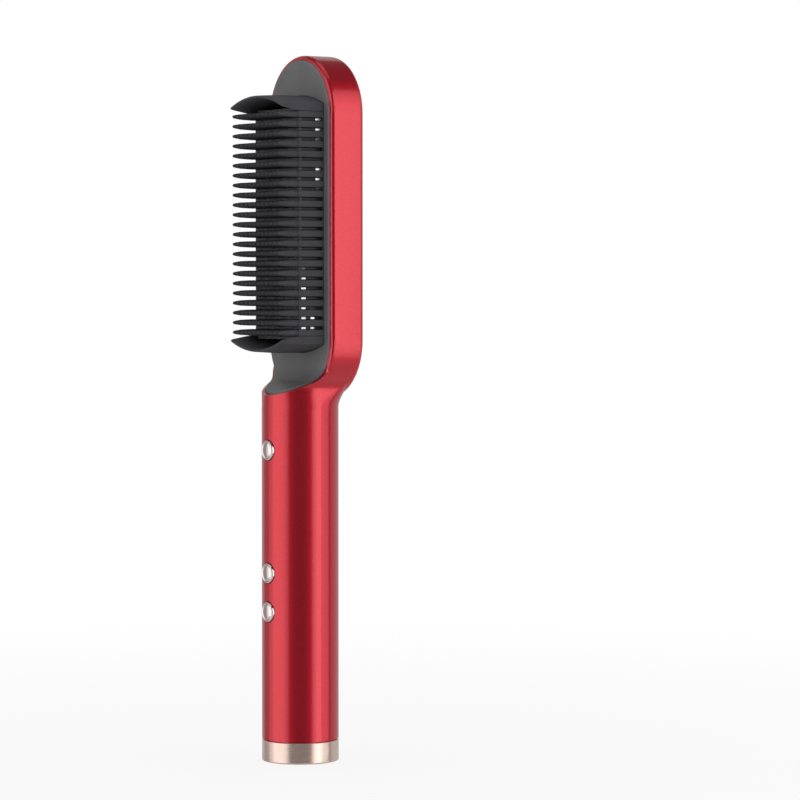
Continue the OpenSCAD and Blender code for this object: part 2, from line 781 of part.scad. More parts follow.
// Curved wall that closes one end of the comb and thins towards its tip
module guard(turn) translate([0, 0, comb_mid]) rotate([0, turn, 0]) intersection() {
    translate([0, 0, comb_l / 2 - end_r]) rotate([90, 0, 0]) rotate_extrude($fn = BIG_FN)
        polygon([
            [end_r - guard_t, -face_y - EPS], [end_r, -face_y - EPS], [end_r, -row_y],
            [end_r - guard_lean, -tip_y], [end_r - guard_lean - tooth_tip_t, -tip_y],
            [end_r - guard_t, -row_y]
        ]);
    translate([-comb_w / 2, tip_y - OVER, comb_l / 4]) cube([comb_w, face_y - tip_y + 2 * OVER, comb_l]);
}

module comb_guard() color("darkslategray") {
    fin_room = plate_w / 2 + fin_gap;
    intersection() {
        along_x(comb_w)
            for (i = [0 : row_count - 1]) polygon(row_points(first_row_z + i * row_pitch));
        union() {
            tooth_plan();
            translate([-comb_w, row_y, comb_low]) cube([2 * comb_w, row_h + OVER, comb_l]);
        }
    }
    for (turn = [0, 180]) guard(turn);
    difference() {
        union() {
            along_y(face_y, flange_y + EPS) comb_outline(0);
            along_y(flange_y, flange_back_y) comb_outline(flange_w);
            at_clamp_screws() y_pin(clamp_boss_r, flange_y, clamp_y);
        }
        for (i = [0 : row_count])
            translate([-fin_room, face_y - OVER, first_row_z + (i - 0.5) * row_pitch - slot_w / 2])
                cube([2 * fin_room, flange_back_y - face_y + 2 * OVER, slot_w]);
        at_clamp_screws() y_pin(clamp_screw_d / 2 + thread_gap, flange_y + 0.6, clamp_y + OVER);
    }
}

module heating_plate() color("silver") {
    fin_y = row_y + fin_drop;
    translate([-plate_w / 2, plate_y, comb_mid - plate_l / 2]) cube([plate_w, plate_t, plate_l]);
    for (i = [0 : row_count])
        let (fin_x = i == 0 || i == row_count ? end_fin_x : plate_w / 2)
            translate([-fin_x, fin_y, first_row_z + (i - 0.5) * row_pitch - fin_half])
                cube([2 * fin_x, plate_y - fin_y + OVER, 2 * fin_half]);
}

module ceramic_heater(mid) color("wheat")
    translate([-heater_w / 2, plate_back_y, mid - heater_l / 2]) cube([heater_w, heater_t, heater_l]);

module heater_lower() ceramic_heater(comb_mid - heater_shift);

module heater_upper() ceramic_heater(comb_mid + heater_shift);

module insulation_sheet() color("goldenrod")
    translate([-heater_w / 2 - sheet_over, heater_back_y, comb_mid - heater_half - sheet_over])
        cube([heater_w + 2 * sheet_over, sheet_t, 2 * (heater_half + sheet_over)]);

module clamp_plate() color("lightsteelblue") difference() {
    union() {
        translate([-clamp_spine_w / 2, clamp_y, comb_mid - heater_half])
            cube([clamp_spine_w, clamp_t, 2 * heater_half]);
        for (s = [-1, 1])
            translate([-clamp_boss_x, clamp_y, comb_mid + s * arm_shift - clamp_arm_w / 2])
                cube([2 * clamp_boss_x, clamp_t, clamp_arm_w]);
        at_clamp_screws() y_pin(clamp_boss_r + clamp_ear, clamp_y, clamp_back_y);
    }
    at_clamp_screws() y_pin(clamp_screw_d / 2 + fit_gap, clamp_y - OVER, clamp_back_y + OVER);
}

module temperature_sensor() color("black")
    translate([-side_x, plate_back_y + sensor_d / 2 + seat_gap, side_z])
        cylinder(d = sensor_d, h = sensor_l, center = true);

module thermal_fuse() color("gainsboro")
    translate([side_x, plate_back_y + fuse_d / 2 + seat_gap, side_z])
        cylinder(d = fuse_d, h = fuse_l, center = true);

module clamp_screws() color("lightgray") at_clamp_screws() {
    y_pin(clamp_screw_d / 2, flange_y + 0.9, clamp_back_y + EPS);
    y_pin(clamp_boss_r, clamp_back_y, clamp_back_y + 1);
}

module head_screws() color("lightgray") at_head_screws() {
    y_pin(screw_r, frame_back_y + 1, screw_seat_y + EPS);
    y_pin(screw_head_r, screw_seat_y, screw_seat_y + screw_head_t);
}

// Way of a wire from the back of the board up into the neck, s being its side
function board_exit(s, x, neck_x) = [
    [s * x, -board_rear, wire_z], [s * x, wire_bend - board_rear, wire_z],
    [s * x, 0.2 * wire_run_y, wire_z + 2], [s * x, 0.4 * wire_run_y, wire_z + 6],
    [s * neck_x, 0.48 * wire_run_y, rail_top]
];

// Leads of both heaters, from the back of the board up into the head
module heater_leads() color("white") {
    mid_y = plate_back_y + heater_t / 2;
    low_z = comb_mid - heater_half;
    upper_z = comb_mid + heater_gap / 2 + 6;
    for (s = [-1, 1]) {
        wire(concat(board_exit(s, inner_wire_x, inner_wire_x), [
            [s * inner_wire_x, wire_run_y, fillet_z], [s * inner_wire_x, mid_y, low_z - 12],
            [s * inner_wire_x, mid_y, low_z - 5], [s * inner_wire_x, mid_y, low_z]
        ]), wire_r);
        wire(concat(board_exit(s, outer_wire_x, outer_wire_x + 0.8), [
            [s * 10, wire_run_y, fillet_z + 1], [s * side_wire_x, mid_y, low_z - 14],
            [s * side_wire_x, mid_y, low_z], [s * side_wire_x, mid_y, upper_z - 3],
            [s * (side_wire_x - 1), mid_y, upper_z - 0.6],
            [s * (side_wire_x - 2.4), mid_y, upper_z], [s * heater_w / 2, mid_y, upper_z]
        ]), wire_r);
    }
}

// Leads of the temperature sensor and the thermal fuse
module sensor_leads() color("white")
    for (s = [-1, 1]) {
        end_y = plate_back_y + (s < 0 ? sensor_d : fuse_d) / 2 + seat_gap;
        end_z = side_z - (s < 0 ? sensor_l : fuse_l) / 2;
        run_x = s * (side_x + 1.2);
        run_y = plate_back_y + 2 * thin_wire_r;
        low_z = comb_low + plate_room;
        wire(concat(board_exit(s, sensor_wire_x, sensor_wire_x + 0.6), [
            [s * thin_bend_x, 0.68 * wire_run_y, fillet_z + 3], [run_x, run_y, low_z - 7],
            [run_x, run_y, low_z], [run_x, run_y, end_z - 8],
            [s * side_x, end_y, end_z - 2], [s * side_x, end_y, end_z]
        ]), thin_wire_r);
    }

module circuit_board() color("seagreen") difference() {
    translate([-board_half, -board_front, board_low]) cube([2 * board_half, board_t, board_high - board_low]);
    at_board_screws() front_pin(screw_r + fit_gap, board_rear - OVER, board_front + OVER);
    at_light_feet() front_pin(light_peg_r + seat_gap, board_rear - OVER, board_front + OVER);
}

module board_carrier() color("slategray") difference() {
    slot_front = -board_front - seat_gap;
    slot_t = board_t + 2 * seat_gap;
    rail_t = slot_t + rail_front + rail_rear;
    union() {
        intersection() {
            translate([0, 0, rail_low]) cylinder(r = rail_r, h = rail_top - rail_low);
            for (x = [-rail_r, rail_x])
                translate([x, slot_front - rail_front, rail_low])
                    cube([rail_r - rail_x, rail_t, rail_top - rail_low]);
        }
        at_board_screws()
            translate([-rail_x - root, seat_gap - board_rear, -bar_h / 2])
                cube([2 * (rail_x + root), bar_t, bar_h]);
    }
    translate([-board_half - seat_gap, slot_front, board_low - seat_gap])
        cube([2 * (board_half + seat_gap), slot_t, rail_top - board_low + OVER]);
    at_board_screws() front_pin(screw_r + thread_gap, bar_rear - OVER, board_rear + OVER);
}

module board_screws() color("lightgray") at_board_screws() {
    front_pin(screw_r, bar_rear + 0.5, board_front + EPS);
    front_pin(screw_head_r, board_front, board_front + screw_head_t);
}

module push_switch(z) color("dimgray") translate([0, 0, z]) difference() {
    translate([-switch_w / 2, -switch_front, -switch_w / 2]) cube([switch_w, switch_h, switch_w]);
    front_pin(plunger_r + turn_gap, switch_front - plunger_sunk - 1, switch_front + OVER);
}

module power_switch() push_switch(power_z);

module plus_switch() push_switch(plus_z);

module minus_switch() push_switch(minus_z);

module plunger(z) color("black")
    translate([0, 0, z]) front_pin(plunger_r, switch_front - plunger_sunk, plunger_front);

module power_plunger() plunger(power_z);

module plus_plunger() plunger(plus_z);

module minus_plunger() plunger(minus_z);

// Domed cap with a hidden flange and a short foot on the plunger
module button_cap(z) color("mistyrose") translate([0, 0, z]) {
    top = handle_r + button_proud;
    dome_r = (button_r * button_r + button_proud * button_proud) / (2 * button_proud);
    intersection() {
        front_pin(button_r, flange_front - 0.4, top + OVER);
        translate([0, dome_r - top, 0]) sphere(r = dome_r, $fn = 96);
    }
    front_pin(flange_r, flange_rear, flange_front);
    front_pin(plunger_r, plunger_front, flange_rear + EPS);
}

module power_button() button_cap(power_z);

module plus_button() button_cap(plus_z);

module minus_button() button_cap(minus_z);

module indicator_leds() color("orange") at_lights()
    translate([-led_w / 2, -board_front - led_h, -led_h / 2]) cube([led_w, led_h, led_h]);

module light_guide() color("whitesmoke") {
    at_lights() front_pin(light_r, board_front + led_h + 0.2, handle_r - light_skin - seat_gap);
    translate([-light_bar_half, -light_bar_front, lights_mid - light_feet / 2 - light_foot_r])
        cube([2 * light_bar_half, light_bar_t, light_feet + 2 * light_foot_r]);
    at_light_feet() {
        front_pin(light_peg_r, board_rear + 0.4, board_front + EPS);
        front_pin(light_foot_r, board_front, light_bar_front - light_bar_t / 2);
    }
}

module control_chip() color("black")
    translate([board_half - chip_w - 2.2, -board_front - chip_h, lights_mid - chip_l / 2])
        cube([chip_w, chip_h, chip_l]);

module heater_triac() color("black")
    translate([-triac_w / 2, -board_rear, lights_mid + 3]) cube([triac_w, triac_h, triac_l]);

module dropper_capacitor() color("khaki")
    translate([-dropper_w / 2, -board_rear, plus_z - dropper_l / 3]) cube([dropper_w, dropper_h, dropper_l]);

module smoothing_capacitor() color("navy")
    translate([-smoother_d / 2 - 1.2, 0, lights_mid - 1 - smoother_d / 2])
        front_pin(smoother_d / 2, board_rear - smoother_h, board_rear);

module surge_absorber() color("royalblue")
    translate([absorber_d / 2 + 0.2, absorber_d / 2 + 0.4 - board_rear, minus_z + 2])
        cylinder(d = absorber_d, h = absorber_t);

module mains_fuse() color("saddlebrown")
    translate([-mains_fuse_d / 2 - 2.8, 0, minus_z + 3.8])
        front_pin(mains_fuse_d / 2, board_rear - mains_fuse_h, board_rear);

module mains_leads() color("white")
    for (s = [-1, 1]) let (x = s * mains_wire_x)
        wire([
            [x, wire_run_y, plug_h + carrier_t], [x, wire_run_y, plug_h + 8],
            [x, 0.88 * wire_run_y, board_low - 4], [x, 0.6 * wire_run_y, bar_low_z],
            [x, 0.2 * wire_run_y, mains_wire_z - 1.4],
            [x, 0.8 * wire_bend - board_rear, mains_wire_z], [x, -board_rear, mains_wire_z]
        ], wire_r);

module base_ring() color("rosybrown") difference() {
    cylinder(r = handle_r, h = ring_h);
    translate([0, 0, ring_lip]) cylinder(r = handle_r - ring_t, h = ring_h);
    translate([0, 0, -OVER]) cylinder(r = lip_r, h = ring_h);
}

module tail_plug() color("black") difference() {
    union() {
        translate([0, 0, plug_low]) cylinder(r = lip_r - fit_gap, h = plug_flange_low);
        translate([0, 0, plug_flange_low]) cylinder(r = plug_flange_r, h = plug_flange_t);
        translate([0, 0, plug_flange_low]) cylinder(r = plug_r, h = plug_h - plug_flange_low);
    }
    translate([0, 0, -OVER]) cylinder(r = gland_bore_r, h = seat_z + 2 * OVER);
    translate([0, 0, seat_z]) cylinder(r = cup_r, h = plug_h);
    at_tail_screws() translate([0, 0, tail_screw_in - 0.3]) cylinder(r = screw_r + thread_gap, h = plug_r);
}

module tail_screws() color("lightgray") at_tail_screws() {
    shank_r = screw_r - fit_gap;
    translate([0, 0, tail_screw_in]) cylinder(r = shank_r, h = bore_r - tail_screw_in + EPS);
    translate([0, 0, bore_r])
        cylinder(r1 = shank_r, r2 = screw_head_r - fit_gap, h = spigot_r - bore_r - thread_gap);
}

module swivel_gland() color("black") difference() {
    union() {
        translate([0, 0, gland_low]) cylinder(r = gland_r, h = gland_flange_low - gland_low + EPS);
        translate([0, 0, gland_flange_low]) cylinder(d = gland_flange_d, h = gland_flange_t);
        translate([0, 0, gland_flange_low]) cylinder(r = gland_neck_r, h = gland_top - gland_flange_low);
    }
    translate([0, 0, -OVER]) cylinder(d = cord_bore_d, h = gland_top + 2 * OVER);
}

module slip_rings() color("peru")
    for (r = [track_inner, track_outer])
        translate([0, 0, gland_flange_high]) difference() {
            cylinder(r = r + track_w / 2, h = track_t);
            translate([0, 0, -OVER]) cylinder(r = r - track_w / 2, h = 3 * OVER);
        }

// Two sprung strips that reach down from the carrier disc to the tracks
module contact_leaves() color("darkgoldenrod") {
    foot = gland_flange_high + track_t + seat_gap;
    for (x = [track_inner, -track_outer])
        translate([x, 0, 0]) rotate([90, 0, 90])
            linear_extrude(leaf_w, center = true)
                polygon([
                    [-3.4, plug_h], [-3.4, plug_h - 0.3], [-1.2, plug_h - 0.3], [0, foot],
                    [0.6, foot], [1.6, foot + 0.7], [1.3, foot + 0.8], [0.4, foot + 0.3],
                    [0.15, foot + 0.3], [-1, plug_h]
                ]);
}

module contact_carrier() color("beige") difference() {
    translate([0, 0, plug_h]) cylinder(r = plug_r, h = carrier_t);
    translate([0, 0, plug_h - OVER]) cylinder(r = gland_neck_r + free_gap, h = carrier_t + 2 * OVER);
}

body_shell();
face_frame();
back_bezel();
back_panel();
comb_guard();
heating_plate();
heater_lower();
heater_upper();
insulation_sheet();
clamp_plate();
temperature_sensor();
thermal_fuse();
clamp_screws();
head_screws();
heater_leads();
sensor_leads();
circuit_board();
board_carrier();
board_screws();
power_switch();
plus_switch();
minus_switch();
power_plunger();
plus_plunger();
minus_plunger();
power_button();
plus_button();
minus_button();
indicator_leds();
light_guide();
control_chip();
heater_triac();
dropper_capacitor();
smoothing_capacitor();
surge_absorber();
mains_fuse();
mains_leads();
base_ring();
tail_plug();
tail_screws();
swivel_gland();
slip_rings();
contact_leaves();
contact_carrier();
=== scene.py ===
"""Looks of the hot straightening comb: fine shapes, finishes, studio and camera."""

import json
import logging
import math
from dataclasses import dataclass
from enum import Enum

import bmesh
import bpy
from mathutils import Matrix, Vector

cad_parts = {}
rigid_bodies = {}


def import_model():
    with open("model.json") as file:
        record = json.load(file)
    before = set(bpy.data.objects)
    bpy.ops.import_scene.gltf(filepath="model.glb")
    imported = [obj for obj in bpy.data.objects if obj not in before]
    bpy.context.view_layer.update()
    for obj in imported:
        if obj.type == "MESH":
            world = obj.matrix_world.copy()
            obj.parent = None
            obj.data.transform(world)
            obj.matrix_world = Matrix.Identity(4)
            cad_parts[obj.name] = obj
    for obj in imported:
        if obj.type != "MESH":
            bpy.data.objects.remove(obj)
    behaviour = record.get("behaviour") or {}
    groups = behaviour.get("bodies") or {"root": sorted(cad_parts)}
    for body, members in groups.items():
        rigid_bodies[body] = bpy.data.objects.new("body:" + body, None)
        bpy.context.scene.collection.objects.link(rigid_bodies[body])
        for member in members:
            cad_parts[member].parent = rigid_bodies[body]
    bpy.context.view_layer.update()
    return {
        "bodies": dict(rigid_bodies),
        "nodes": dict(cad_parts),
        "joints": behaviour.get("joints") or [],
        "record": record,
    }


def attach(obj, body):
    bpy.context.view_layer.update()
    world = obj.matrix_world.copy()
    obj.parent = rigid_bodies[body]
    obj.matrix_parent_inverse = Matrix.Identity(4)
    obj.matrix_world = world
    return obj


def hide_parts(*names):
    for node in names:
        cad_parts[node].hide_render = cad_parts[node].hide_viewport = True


LOG = logging.getLogger("hot_comb")
# One millimetre in metres, as the pieces are shaped in millimetres
MM = 0.001
HOUSING = "housing"
# Heights of the centres of the head's two half circles
ARC_LOW = 164.5
ARC_HIGH = 252.0
HEAD_STRAIGHT = ARC_HIGH - ARC_LOW
COMB_MIDDLE = 209.35
# Angle in degrees above which an edge stays sharp
SHARP_ANGLE = 35.0
# Distance in millimetres below which points are merged
MERGE_DISTANCE = 0.002
# Range that the middle of a noise pattern covers
NOISE_LOW = 0.3
NOISE_HIGH = 0.7
# Direction of the camera, in degrees from the front towards the right side
CAMERA_AZIMUTH = 57.3
# Heights of the ends of the light tent in metres
TENT_LOW = -1.0
TENT_HIGH = 2.0
TENT_SIDE_HIGH = 1.1
Colour = tuple[float, float, float]
Point = tuple[float, float, float]
Pair = tuple[float, float]
Profile = list[Pair]


class Axis(Enum):
    """Main directions of the object's frame."""

    SIDE = Vector((1.0, 0.0, 0.0))
    DEPTH = Vector((0.0, 1.0, 0.0))
    UP = Vector((0.0, 0.0, 1.0))


class Grain(Enum):
    """Ways in which a finish carries its fine marks."""

    EVEN = (1.0, 1.0, 1.0)
    ALONG = (1.0, 1.0, 0.04)
    ROUND = (0.06, 0.06, 1.0)


def map_range(
    tree: bpy.types.NodeTree, value: bpy.types.NodeSocket, start: Pair, end: Pair, smooth: bool = False,
) -> bpy.types.NodeSocket:
    """Adds a node that maps one range to another and stays inside it.

    Args:
        tree: Node tree that gets the node.
        value: Value to map.
        start: Range that it comes from.
        end: Range that it goes to.
        smooth: True if it eases in and out.

    Returns:
        The mapped value.
    """
    ranged = tree.nodes.new("ShaderNodeMapRange")
    ranged.interpolation_type = "SMOOTHSTEP" if smooth else "LINEAR"
    for socket, limit in zip(("From Min", "From Max", "To Min", "To Max"), (*start, *end)):
        ranged.inputs[socket].default_value = limit
    tree.links.new(value, ranged.inputs["Value"])
    return ranged.outputs["Result"]


def combine(
    tree: bpy.types.NodeTree, operation: str, first: bpy.types.NodeSocket, second: bpy.types.NodeSocket,
) -> bpy.types.NodeSocket:
    """Adds a node that joins two values and keeps the result between 0 and 1.

    Args:
        tree: Node tree that gets the node.
        operation: What the node does with them.
        first: One value.
        second: The other.

    Returns:
        The result.
    """
    node = tree.nodes.new("ShaderNodeMath")
    node.operation = operation
    node.use_clamp = True
    tree.links.new(first, node.inputs[0])
    tree.links.new(second, node.inputs[1])
    return node.outputs["Value"]


def add_object(name: str, data: bpy.types.ID) -> bpy.types.Object:
    """Adds an object with its data to the scene."""
    thing = bpy.data.objects.new(name, data)
    bpy.context.scene.collection.objects.link(thing)
    return thing


class Finisher:
    """Builds one node material on Object coordinates."""

    def __init__(self, name: str, colour: Colour, roughness: float, metallic: float = 0.0) -> None:
        """Starts a material from its plain values.

        Args:
            name: Name of the material.
            colour: Linear base colour.
            roughness: Roughness of the surface.
            metallic: Share of metal, from 0 to 1.
        """
        self.material = bpy.data.materials.new(name)
        self.material.use_nodes = True
        self.tree = self.material.node_tree
        self.shader = self.tree.nodes["Principled BSDF"]
        self.place = self.tree.nodes.new("ShaderNodeTexCoord").outputs["Object"]
        self.colour = colour
        self.set("Base Color", (*colour, 1.0))
        self.set("Roughness", roughness)
        self.set("Metallic", metallic)

    def set(self, socket: str, value: float | tuple[float, ...]) -> None:
        """Sets one of the shader's own sockets.

        Args:
            socket: Name of the socket.
            value: Its value, the same all over the surface.
        """
        self.shader.inputs[socket].default_value = value

    def link(self, start: bpy.types.NodeSocket, end: bpy.types.NodeSocket) -> None:
        """Joins an output to an input."""
        self.tree.links.new(start, end)

    def noise(self, size: float, detail: float = 2.0, grain: Grain = Grain.EVEN) -> bpy.types.NodeSocket:
        """Adds a noise pattern.

        Args:
            size: Rough size of its features in metres.
            detail: Number of finer layers.
            grain: Direction in which the pattern is drawn out.

        Returns:
            The pattern's value, around 0.5.
        """
        mapping = self.tree.nodes.new("ShaderNodeMapping")
        mapping.inputs["Scale"].default_value = grain.value
        noise = self.tree.nodes.new("ShaderNodeTexNoise")
        noise.inputs["Scale"].default_value = 1.0 / size
        noise.inputs["Detail"].default_value = detail
        self.link(self.place, mapping.inputs["Vector"])
        self.link(mapping.outputs["Vector"], noise.inputs["Vector"])
        return noise.outputs["Fac"]

    def spread(self, value: bpy.types.NodeSocket, low: float, high: float) -> bpy.types.NodeSocket:
        """Maps the middle of a pattern to a range.

        Args:
            value: Pattern around 0.5.
            low: Result at the low end of the middle.
            high: Result at its high end.

        Returns:
            The mapped value.
        """
        return map_range(self.tree, value, (NOISE_LOW, NOISE_HIGH), (low, high))

    def band(self, axis: str, span: Pair, fade: float) -> bpy.types.NodeSocket:
        """Adds a value that is 1 inside a span of one coordinate and fades out beside it.

        Args:
            axis: X, Y or Z.
            span: Start and end of the span in metres.
            fade: Width of the fade at each end.

        Returns:
            The value's socket.
        """
        parts = self.tree.nodes.new("ShaderNodeSeparateXYZ")
        self.link(self.place, parts.inputs["Vector"])
        sides = [
            map_range(self.tree, parts.outputs[axis], (edge + outside, edge), (0.0, 1.0), smooth=True)
            for edge, outside in ((span[0], -fade), (span[1], fade))
        ]
        return self.product(*sides)

    def larger(self, first: bpy.types.NodeSocket, second: bpy.types.NodeSocket) -> bpy.types.NodeSocket:
        """Returns the larger of two values."""
        return combine(self.tree, "MAXIMUM", first, second)

    def product(self, first: bpy.types.NodeSocket, second: bpy.types.NodeSocket) -> bpy.types.NodeSocket:
        """Returns the product of two values, 1 at the most."""
        return combine(self.tree, "MULTIPLY", first, second)

    def lean(self, way: Point, share: bpy.types.NodeSocket) -> None:
        """Leans the shading of the surface, so that painted glints face a bright screen.

        Args:
            way: Direction and amount of the lean.
            share: Share of it, from 0 to 1.
        """
        scale, add, unit = (self.tree.nodes.new("ShaderNodeVectorMath") for _ in range(3))
        scale.operation, add.operation, unit.operation = "SCALE", "ADD", "NORMALIZE"
        scale.inputs[0].default_value = way
        self.link(share, scale.inputs["Scale"])
        self.link(self.tree.nodes.new("ShaderNodeNewGeometry").outputs["Normal"], add.inputs[0])
        self.link(scale.outputs["Vector"], add.inputs[1])
        self.link(add.outputs["Vector"], unit.inputs[0])
        self.link(unit.outputs["Vector"], self.shader.inputs["Normal"])

    def blend_colour(self, share: bpy.types.NodeSocket, other: Colour) -> None:
        """Lets the base colour turn into another one.

        Args:
            share: Share of the other colour, from 0 to 1.
            other: That colour.
        """
        ramp = self.tree.nodes.new("ShaderNodeValToRGB")
        ramp.color_ramp.elements[0].color = (*self.colour, 1.0)
        ramp.color_ramp.elements[1].color = (*other, 1.0)
        self.link(share, ramp.inputs["Fac"])
        self.link(ramp.outputs["Color"], self.shader.inputs["Base Color"])

    def vary_roughness(self, value: bpy.types.NodeSocket, low: float, high: float) -> None:
        """Lets the roughness follow a pattern between two values."""
        self.link(self.spread(value, low, high), self.shader.inputs["Roughness"])

    def vary_colour(self, value: bpy.types.NodeSocket, share: float) -> None:
        """Lets the base colour follow a pattern.

        Args:
            value: Pattern around 0.5.
            share: How far the colour is darkened and lightened.
        """
        ramp = self.tree.nodes.new("ShaderNodeValToRGB")
        ramp.color_ramp.elements[0].position = NOISE_LOW
        ramp.color_ramp.elements[1].position = NOISE_HIGH
        for element, factor in zip(ramp.color_ramp.elements, (1.0 - share, 1.0 + share)):
            element.color = (*(min(1.0, factor * part) for part in self.colour), 1.0)
        self.link(value, ramp.inputs["Fac"])
        self.link(ramp.outputs["Color"], self.shader.inputs["Base Color"])

    def bump(self, value: bpy.types.NodeSocket, depth: float) -> None:
        """Raises a pattern on the surface.

        Args:
            value: Pattern around 0.5.
            depth: Height of the pattern in metres.
        """
        bump = self.tree.nodes.new("ShaderNodeBump")
        bump.inputs["Distance"].default_value = depth
        bump.inputs["Strength"].default_value = 1.0
        self.link(value, bump.inputs["Height"])
        self.link(bump.outputs["Normal"], self.shader.inputs["Normal"])


@dataclass(frozen=True)
class Lacquer:
    """Metallic lacquer under a clear coat, with fine flake and faint orange peel."""

    name: str
    colour: Colour
    roughness: float = 0.36
    metallic: float = 0.55
    coat: float = 0.35
    coat_roughness: float = 0.16
    coat_ior: float = 1.6
    play: float = 0.03
    flake: float = 0.0004
    flake_contrast: float = 0.1
    peel: float = 0.0022
    peel_depth: float = 0.000012

    def material(self) -> bpy.types.Material:
        """Returns the finished material."""
        paint = Finisher(self.name, self.colour, self.roughness, self.metallic)
        paint.set("Coat Weight", self.coat)
        paint.set("Coat Roughness", self.coat_roughness)
        paint.set("Coat IOR", self.coat_ior)
        fine = paint.noise(self.flake, 1.0)
        paint.vary_colour(fine, self.flake_contrast)
        paint.vary_roughness(fine, self.roughness - self.play, self.roughness + self.play)
        paint.bump(paint.noise(self.peel, 2.0), self.peel_depth)
        return paint.material


@dataclass(frozen=True)
class Moulded:
    """Moulded plastic with a fine spark-eroded grain."""

    name: str
    colour: Colour
    roughness: float = 0.45
    play: float = 0.06
    grain: float = 0.0003
    depth: float = 0.000012
    specular: float = 0.5
    cloud: float = 0.012
    cloud_contrast: float = 0.08

    def material(self) -> bpy.types.Material:
        """Returns the finished material."""
        plastic = Finisher(self.name, self.colour, self.roughness)
        plastic.set("Specular IOR Level", self.specular)
        fine = plastic.noise(self.grain, 3.0)
        plastic.vary_colour(plastic.noise(self.cloud, 2.0), self.cloud_contrast)
        plastic.vary_roughness(fine, self.roughness - self.play, self.roughness + self.play)
        plastic.bump(fine, self.depth)
        return plastic.material


@dataclass(frozen=True)
class Metal:
    """Bare or coated metal with drawn or turned marks."""

    name: str
    colour: Colour
    roughness: float = 0.2
    grain: Grain = Grain.EVEN
    depth: float = 0.000003
    metallic: float = 1.0
    marks: float = 0.0005
    play: Pair = (0.85, 1.15)
    cloud: float = 0.006
    cloud_contrast: float = 0.05

    def material(self) -> bpy.types.Material:
        """Returns the finished material."""
        metal = Finisher(self.name, self.colour, self.roughness, self.metallic)
        marks = metal.noise(self.marks, 3.0, self.grain)
        metal.vary_colour(metal.noise(self.cloud, 2.0), self.cloud_contrast)
        metal.vary_roughness(marks, self.play[0] * self.roughness, self.play[1] * self.roughness)
        metal.bump(marks, self.depth)
        return metal.material


@dataclass(frozen=True)
class Coated:
    """Smooth dipped, glazed or sheet material with soft blotches."""

    name: str
    colour: Colour
    roughness: float = 0.35
    play: Pair = (-0.05, 0.08)
    blotch: float = 0.003
    blotch_contrast: float = 0.12
    coat: float = 0.2
    dimple: float = 0.0008
    dimple_depth: float = 0.00002

    def material(self) -> bpy.types.Material:
        """Returns the finished material."""
        skin = Finisher(self.name, self.colour, self.roughness)
        skin.set("Coat Weight", self.coat)
        soft = skin.noise(self.blotch, 3.0)
        skin.vary_colour(soft, self.blotch_contrast)
        skin.vary_roughness(soft, self.roughness + self.play[0], self.roughness + self.play[1])
        skin.bump(skin.noise(self.dimple, 2.0), self.dimple_depth)
        return skin.material


@dataclass(frozen=True)
class GlintSpot:
    """Box that holds a painted glint of bright bare metal, faint at its edges and full in its middle."""

    depth: Pair
    height: Pair


@dataclass(frozen=True)
class FinCoat:
    """Dark coating on metal fins, lighter along the front edge (rubbed coating and painted light that lifts
    the shade between the rows), with painted glints of bright metal in some spots.
    """

    name: str
    colour: Colour
    # Colour of bright bare metal that the painted glints and the lighter front edge blend to
    metal: Colour
    glint_spots: tuple[GlintSpot, ...]
    roughness: Pair = (0.2, 0.34)
    grain: float = 0.0006
    specular: float = 0.2
    # How far the painted glints and the front band lean their shading forward, towards a bright screen
    painted_light_lean: float = 0.14
    front: Pair = (-0.0106, -0.0099)
    front_fade: float = 0.0004
    # Share of bright metal along the front edge: rubbed coating, and painted light that lifts the shade
    # between the rows
    front_rub_and_light: Pair = (0.091, 0.169)
    front_mottle: float = 0.002
    patch: float = 0.0035
    glint_patch_range: Pair = (0.2, 1.8)
    fade: Pair = (0.0006, 0.006)

    def material(self) -> bpy.types.Material:
        """Returns the finished material."""
        coat = Finisher(self.name, self.colour, self.roughness[0])
        coat.set("Specular IOR Level", self.specular)
        patches = coat.spread(coat.noise(self.patch, 1.0), *self.glint_patch_range)
        # Lighter front edge: partly rubbed coating, partly painted light that lifts the shade in the gaps
        rub_and_light = coat.spread(coat.noise(self.front_mottle, 1.0), *self.front_rub_and_light)
        share = coat.product(coat.band("Y", self.front, self.front_fade), rub_and_light)
        # Painted glints: bright bare metal blended into boxes at the fins' ends, where highlights are meant
        # to fall
        for spot in self.glint_spots:
            depth = coat.band("Y", spot.depth, self.fade[0])
            inside = coat.product(depth, coat.band("Z", spot.height, self.fade[1]))
            share = coat.larger(share, coat.product(inside, patches))
        coat.blend_colour(share, self.metal)
        # Leans the shading where light is painted, so that the glints reflect a bright screen
        coat.lean((0.0, -self.painted_light_lean, 0.0), share)
        coat.link(share, coat.shader.inputs["Metallic"])
        coat.vary_roughness(coat.noise(self.grain, 2.0), *self.roughness)
        return coat.material


@dataclass(frozen=True)
class Clear:
    """Clear moulded plastic."""

    name: str
    colour: Colour
    roughness: float = 0.12
    play: Pair = (-0.04, 0.06)
    cloud: float = 0.002
    clearness: float = 0.85
    ior: float = 1.49

    def material(self) -> bpy.types.Material:
        """Returns the finished material."""
        clear = Finisher(self.name, self.colour, self.roughness)
        clear.set("Transmission Weight", self.clearness)
        clear.set("IOR", self.ior)
        soft = clear.noise(self.cloud, 2.0)
        clear.vary_roughness(soft, self.roughness + self.play[0], self.roughness + self.play[1])
        return clear.material


@dataclass(frozen=True)
class Lamp:
    """Diffused indicator diode that glows faintly."""

    name: str
    colour: Colour
    roughness: float = 0.4
    glow: float = 0.15
    grain: float = 0.0006
    contrast: float = 0.1

    def material(self) -> bpy.types.Material:
        """Returns the finished material."""
        lamp = Finisher(self.name, self.colour, self.roughness)
        lamp.set("Emission Color", (*self.colour, 1.0))
        lamp.set("Emission Strength", self.glow)
        lamp.vary_colour(lamp.noise(self.grain, 2.0), self.contrast)
        return lamp.material


